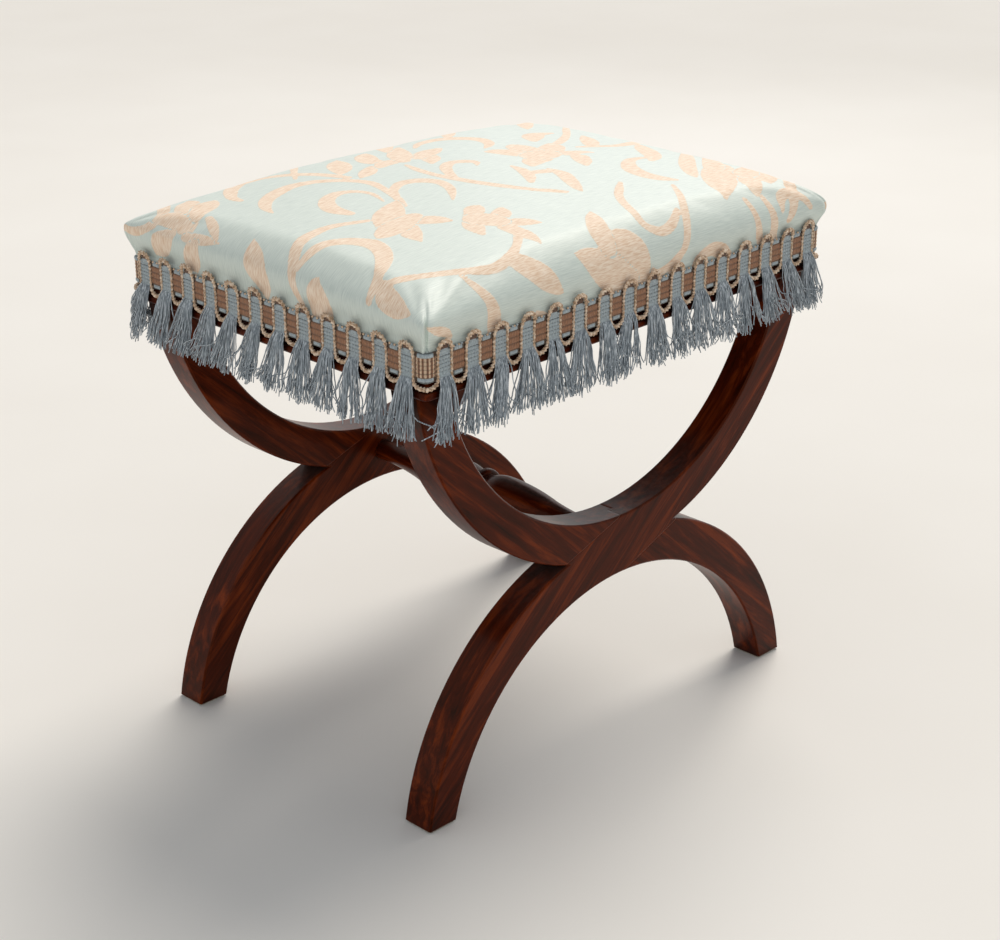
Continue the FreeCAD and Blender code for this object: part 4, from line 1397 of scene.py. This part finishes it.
@dataclass
class LoopedCord:
    """Two-ply twisted cord that loops over every column and hangs in a bow under every block."""

    outline: SeatOutline
    ply_radius: float = 0.88
    twist_pitch: float = 6.6
    leg: float = 7.4                # from a column's middle to the cord beside it
    thin: float = 0.82              # the cord is drawn thin down the sides of the columns
    thick: float = 1.24             # and is loose and full in its loops and bows
    loop_rise: float = 32.0
    bow_drop: float = 5.0
    step: float = 0.8
    steps: int = 12                 # along the drawn line between two of its points
    waist: float = 1.15             # half the width across both plies, as a share of a ply's radius
    profile_points: int = 10

    def path(self, side: Side, rng: random.Random) -> np.ndarray:
        """The cord's line along one side.

        Args:
            side: the side of the seat.
            rng: small differences from loop to loop.

        Returns:
            Distance along, distance out, height and relative thickness of each point.
        """
        reach = self.outline.reach(side)
        columns = self.outline.columns(side)
        middles = np.concatenate([[-reach], (columns[:-1] + columns[1:]) / 2, [reach]])
        points = []
        for number, column in enumerate(columns):
            before, after = middles[number], middles[number + 1]
            top = self.loop_rise + rng.uniform(-0.9, 0.9)
            lean = rng.uniform(-0.7, 0.7)
            bow = -self.bow_drop + rng.uniform(-0.9, 0.7)
            tilt = rng.uniform(-0.2, 0.6)
            leg = self.leg
            # half a loop from its top down: distance from the column, out, rise, thickness, share of lean
            half = ((0.0, 2.8 + tilt, top, self.thick, 1), (4.6, 2.4 + tilt, top - 1.6, self.thick, 1),
                    (leg - 0.6, 1.6, 26.0, 1.05, 1), (leg - 0.1, 1.0, 19.8, self.thin, 0),
                    (leg, 0.9, 11.0, self.thin, 0), (leg, 0.9, 3.2, self.thin, 0), (leg + 1.0, 1.0, -1.6, 1.1, 0))
            left, right = ([(column + way * far + lean * share, out, rise, size)
                            for far, out, rise, size, share in half] for way in (-1, 1))
            points += [(before, 1.2, bow, self.thick)] if number == 0 else []
            points += [(column - (column - before + leg) / 2 - 0.5, 1.1, bow + 0.6, self.thick),
                       *left[:0:-1], *right, (column + (after - column + leg) / 2 + 0.5, 1.1, bow + 0.6, self.thick),
                       (after, 1.2, bow, self.thick)]
        return catmull_rom(np.array(points), self.steps)

    def section(self) -> bpy.types.Object:
        """Draws the cord's section: two plies side by side.

        Returns:
            The closed curve, which a line's bevel takes.
        """
        data = bpy.data.curves.new("cord_section", "CURVE")
        ring = data.splines.new("POLY")
        ring.points.add(self.profile_points - 1)
        ring.use_cyclic_u = True
        for number, point in enumerate(ring.points):
            angle = math.tau * number / self.profile_points
            radius = self.ply_radius * max(2 * abs(math.cos(angle)), self.waist) * MM
            point.co = (radius * math.cos(angle), radius * math.sin(angle), 0, 1)
        section = bpy.data.objects.new("cord_section", data)
        bpy.context.scene.collection.objects.link(section)
        return section

    def build(self) -> None:
        """Makes the four lengths of cord."""
        material = LooseYarn("twisted_cord", "#9E7D5F", "#D2B394", "#F2E0CA", 2.4, 2.4, 0.5).material()
        section = self.section()
        rng = random.Random(7)
        for side in Side:
            line = self.path(side, rng)
            points = np.column_stack([self.outline.place(side, *line[:, :3].T), line[:, 3]])
            lengths = np.concatenate([[0], np.cumsum(np.linalg.norm(np.diff(points[:, :3], axis=0), axis=1))])
            even = np.arange(0, lengths[-1], self.step)
            points = np.stack([np.interp(even, lengths, points[:, k]) for k in range(4)], axis=1)
            data = bpy.data.curves.new("cord_line", "CURVE")
            data.dimensions = "3D"
            data.bevel_mode = "OBJECT"
            data.bevel_object = section
            data.use_fill_caps = True
            spline = add_line(data, points[:, :3])
            spline.points.foreach_set("radius", points[:, 3])
            spline.points.foreach_set("tilt", even / self.twist_pitch * math.tau)
            add_piece(mesh_from_curve(data, f"{side.name.lower()}_cord", material))
            log.info("%s cord is %.2f m long", side.name.lower(), lengths[-1] * MM)
        bpy.data.objects.remove(section)


@dataclass
class TasselFringe:
    """Tassels of loose yarns under every column, combed by wear to the side that the photograph shows."""

    # Distances along the yarn, t, run from 0 at its top to 1 at its tip.

    outline: SeatOutline
    yarns: int = 62
    yarn_radius: float = 0.5
    length: float = 52.0
    points: int = 13
    top_half: float = 6.0
    tip_half: float = 14.5
    bead_face: float = 0.9          # the moulding's bead stands this far out from the braid's face
    clump_count: int = 6            # groups of yarns in a tassel that hang together
    wild_share: float = 0.07        # yarns that stray, where the tassel is tidy

    def lean(self, side: Side, place: float) -> float:
        """How far a tassel's tip is combed along the side.

        Args:
            side: the side of the seat.
            place: the tassel's place on it, from -1 to 1.

        Returns:
            The distance in millimetres.
        """
        if side is Side.LEFT:
            return -16.0 * ((1 - place) / 2) ** 1.3 - 3
        if side is Side.FRONT:
            return 13.0 * max(place, -0.1) - 1
        return 4.0 * math.sin(place * 5)

    def mess(self, side: Side, place: float) -> float:
        """How tangled a tassel is, from 0 to 1; the right part of the front is the worst."""
        return 0.25 + 0.65 * max(0.0, math.sin((place + 0.45) * 1.9)) * (side is Side.FRONT)

    def yarn(self, side: Side, column: float, comb: tuple[float, float], clump: tuple[float, float, float],
             rng: random.Random) -> np.ndarray:
        """One yarn's line.

        Args:
            side: the side of the seat.
            column: the tassel's place along it.
            comb: how far its tip is combed, and how tangled it is.
            clump: place across the tassel, spread and depth that this yarn shares with others.
            rng: the differences between yarns.

        Returns:
            The yarn's points, in millimetres.
        """
        lean, mess = comb
        across, fan, deep = clump
        t = np.linspace(0, 1, self.points)
        near_tip = smooth_step(t, 0.6, 1.0)
        across = max(-1.0, min(1.0, across + rng.gauss(0, 0.16)))
        length = self.length * rng.uniform(0.90, 1.06) * (1.03 - 0.10 * abs(across))
        wild = rng.random() < self.wild_share + 0.18 * mess
        start = column + across * self.top_half
        end = column + across * self.tip_half + fan + lean + rng.gauss(0, 8.5 if wild else 1.5)
        waist = across * 2.4 * np.sin(np.clip(t * 2.6, 0, 1) * math.pi / 2)
        along = start + waist * (1 - t) + (end - start) * t ** rng.uniform(1.1, 1.6)
        wave = rng.uniform(0.2, 0.55) + mess * rng.uniform(0.0, 0.9)
        pitch = rng.uniform(14.0, 26.0)
        phase = rng.uniform(0, 6.3)
        turns = t * length / pitch * 6.28
        along = along + wave * np.sin(turns + phase) * t * 1.6
        curl = rng.choice((-1, 1)) * (rng.uniform(4, 10) if wild else rng.uniform(0, 2.5) * mess)
        along = along + curl * smooth_step(t, 0.55, 1.0) * t
        depth = rng.uniform(0, 1)
        out = 0.2 + (1.4 + self.bead_face) * smooth_step(t, 0.0, 0.15) + deep * t * 3.4 + depth * (1.5 + 4.2 * t)
        out = out + wave * np.cos(turns + phase * 2) * t
        lift = (abs(curl) * 0.9 if wild else 0.0) * near_tip
        rise = 2.2 - length * t + 1.9 * abs(end - start) / 20 * t ** 2 + lift
        return self.outline.place(side, along, out, rise)

    def build(self) -> None:
        """Makes the fringe, one piece per side."""
        material = LooseYarn("fringe_yarn", "#68727A", "#929DA5", "#CCD4DA", 1.0, 24.0, 0.36).material()
        rng = random.Random(19)
        for side in Side:
            data = bpy.data.curves.new("fringe_lines", "CURVE")
            data.dimensions = "3D"
            data.bevel_depth = self.yarn_radius * MM
            data.bevel_resolution = 0
            columns = self.outline.columns(side)
            for column in columns:
                place = column / columns[-1]
                mess = self.mess(side, place)
                comb = (self.lean(side, place) + rng.gauss(0, 2.0 + 3.0 * mess), mess)
                clumps = [(rng.uniform(-1, 1), rng.gauss(0, 3.2 + 2.6 * mess), rng.uniform(0, 1))
                          for _ in range(self.clump_count)]
                for number in range(self.yarns):
                    across, fan, deep = clumps[number % len(clumps)]
                    if number % 2:
                        across = rng.uniform(-1, 1)
                    add_line(data, self.yarn(side, column, comb, (across, fan, deep), rng))
            add_piece(mesh_from_curve(data, f"{side.name.lower()}_fringe", material), ("fringe_tassels",))


# Underneath


@dataclass
class DustCover:
    """Black calico tacked under the seat frame, its raw edges turned in, sagging a little."""

    half_length: float = 209.3
    half_depth: float = 171.1
    hem: float = 12.0
    top: float = 400.0
    layer: float = 0.35
    thick: float = 0.3
    sag: float = 3.0
    sag_half: tuple[float, float] = (196.0, 134.0)      # the opening that it spans
    ripple: float = 0.35
    ripple_run: tuple[float, float] = (17.0, 23.0)
    step: float = 6.0

    def fold(self, flat: np.ndarray, half: float) -> tuple[np.ndarray, np.ndarray]:
        """Turns one direction's edges in.

        Args:
            flat: places on the flat cloth.
            half: where the cloth is folded.

        Returns:
            Places after folding, and one where the cloth lies in the hem.
        """
        over = np.clip(np.abs(flat) - half, 0, None)
        return np.sign(flat) * (np.minimum(np.abs(flat), half) - over), (over > 0).astype(float)

    def build(self) -> None:
        """Makes the cloth."""
        lines = []
        for half in (self.half_length, self.half_depth):
            inner = np.linspace(0, half, round(half / self.step) + 1)
            line = np.concatenate([inner, [half + 0.4, half + self.hem]])
            lines.append(np.concatenate([-line[:0:-1], line]))
        bm, number = grid_mesh(len(lines[0]) - 1, len(lines[1]) - 1)
        x, hem_x = self.fold(lines[0][number[:, 0]], self.half_length)
        y, hem_y = self.fold(lines[1][number[:, 1]], self.half_depth)
        inside = np.clip(1 - (x / self.sag_half[0]) ** 2, 0, 1) * np.clip(1 - (y / self.sag_half[1]) ** 2, 0, 1)
        ripple = self.ripple * np.sin(x / self.ripple_run[0]) * np.sin(y / self.ripple_run[1] + 1) * inside ** 0.3
        z = self.top - 3 * self.layer - self.sag * inside ** 0.8 + ripple + (hem_x + hem_y) * self.layer
        place_vertices(bm, np.stack([x, y, z], axis=1))
        calico = PlainWeave("black_calico", "#2A2A2B", "#0D0D0E", 0.9)
        piece = finish_mesh(bm, "calico_dust_cover", calico.material(), outward=False)
        thick = piece.modifiers.new("cloth_thickness", "SOLIDIFY")
        thick.thickness = self.thick * MM
        thick.offset = 0
        add_piece(piece, ("dust_cover",))


@dataclass
class FootPads:
    """Felt pads under the feet, cut a little smaller than the wood."""

    centre: tuple[float, float] = (224.55, 158.6)
    size: Triple = (28.9, 29.4, 2.0)
    corner: float = 2.4
    rim: float = 0.35
    uneven: float = 0.12            # how much the cut edges wander

    def build(self) -> None:
        """Makes the four pads as one piece."""
        bm = bmesh.new()
        rng = random.Random(3)
        for sx in (-1, 1):
            for sy in (-1, 1):
                place = Vector((sx * self.centre[0], sy * self.centre[1], self.size[2] / 2)) * MM
                size = Matrix.Diagonal((*(s * MM for s in self.size), 1))
                bmesh.ops.create_cube(bm, size=1, matrix=Matrix.Translation(place) @ size)
        for is_corner, offset, segments in ((True, self.corner, 3), (False, self.rim, 2)):
            edges = [e for e in bm.edges if (abs(e.verts[0].co.z - e.verts[1].co.z) > 0.5 * MM) is is_corner]
            bmesh.ops.bevel(bm, geom=edges, offset=offset * MM, segments=segments, affect="EDGES", profile=0.5,
                            material=-1)
        for vertex in bm.verts:
            if 0.1 * MM < vertex.co.z < (self.size[2] - 0.1) * MM:
                vertex.co.x += rng.uniform(-self.uneven, self.uneven) * MM
                vertex.co.y += rng.uniform(-self.uneven, self.uneven) * MM
        piece = finish_mesh(bm, "felt_foot_pads", PressedFelt().material())
        add_piece(piece, ("foot_pads",))


# Woodwork and the inside of the seat


@dataclass
class CarriedOver:
    """Dresses the CAD solids that stay as they are."""

    leg_angle: float = math.radians(41.4)       # how steeply a leg's grain runs
    nodes: dict[str, bpy.types.Object] = field(default_factory=lambda: frame["nodes"])

    def dress(self, names: Iterable[str], finish: Finish) -> None:
        """Gives nodes a finish.

        Args:
            names: the nodes.
            finish: their finish.
        """
        material = finish.material()
        for name in names:
            for slot in self.nodes[name].material_slots:
                slot.material = material
            log.info("%s: %s", name, material.name)

    def build(self) -> None:
        """Dresses every carried-over node."""
        rising, falling = (0, -self.leg_angle, 0), (0, self.leg_angle, 0)
        self.dress(("front_left_leg", "rear_left_leg"), FrenchPolishedMahogany("mahogany_rising", rising))
        self.dress(("front_right_leg", "rear_right_leg"), FrenchPolishedMahogany("mahogany_falling", falling))
        self.dress(("turned_stretcher", "left_moulding", "right_moulding"),
                   FrenchPolishedMahogany("mahogany_across", (0, 0, math.pi / 2)))
        self.dress(("front_moulding", "rear_moulding"), FrenchPolishedMahogany("mahogany_along"))
        self.dress(("front_rail", "rear_rail", "left_rail", "right_rail", "corner_blocks", "leg_dowels",
                    "rail_dowels"), PlanedBeech())
        self.dress(("block_screws",), SmallSteel("zinc_plated_steel", "#B9B9B6", 0.3))
        self.dress(("webbing_tacks", "dust_cover_tacks"), SmallSteel("blued_steel", "#3C4048", 0.38))
        self.dress(("long_webbing", "cross_webbing"),
                   PlainWeave("jute_webbing", "#B79C6E", "#7C6540", 2.0, depth=0.6))
        self.dress(("hessian",), PlainWeave("hessian_cloth", "#A78A5E", "#5E4A2E", 1.8, depth=0.5))


def main() -> None:
    """Builds the studio and every piece in order."""
    logging.basicConfig(level=logging.INFO, format="%(name)s %(message)s", stream=sys.stdout)
    Studio().build()
    CarriedOver().build()
    outline = SeatOutline()
    DamaskCushion().build()
    Braid(outline).build()
    LoopedCord(outline).build()
    TasselFringe(outline).build()
    DustCover().build()
    FootPads().build()
    bpy.context.view_layer.update()


if __name__ == "__main__":
    main()
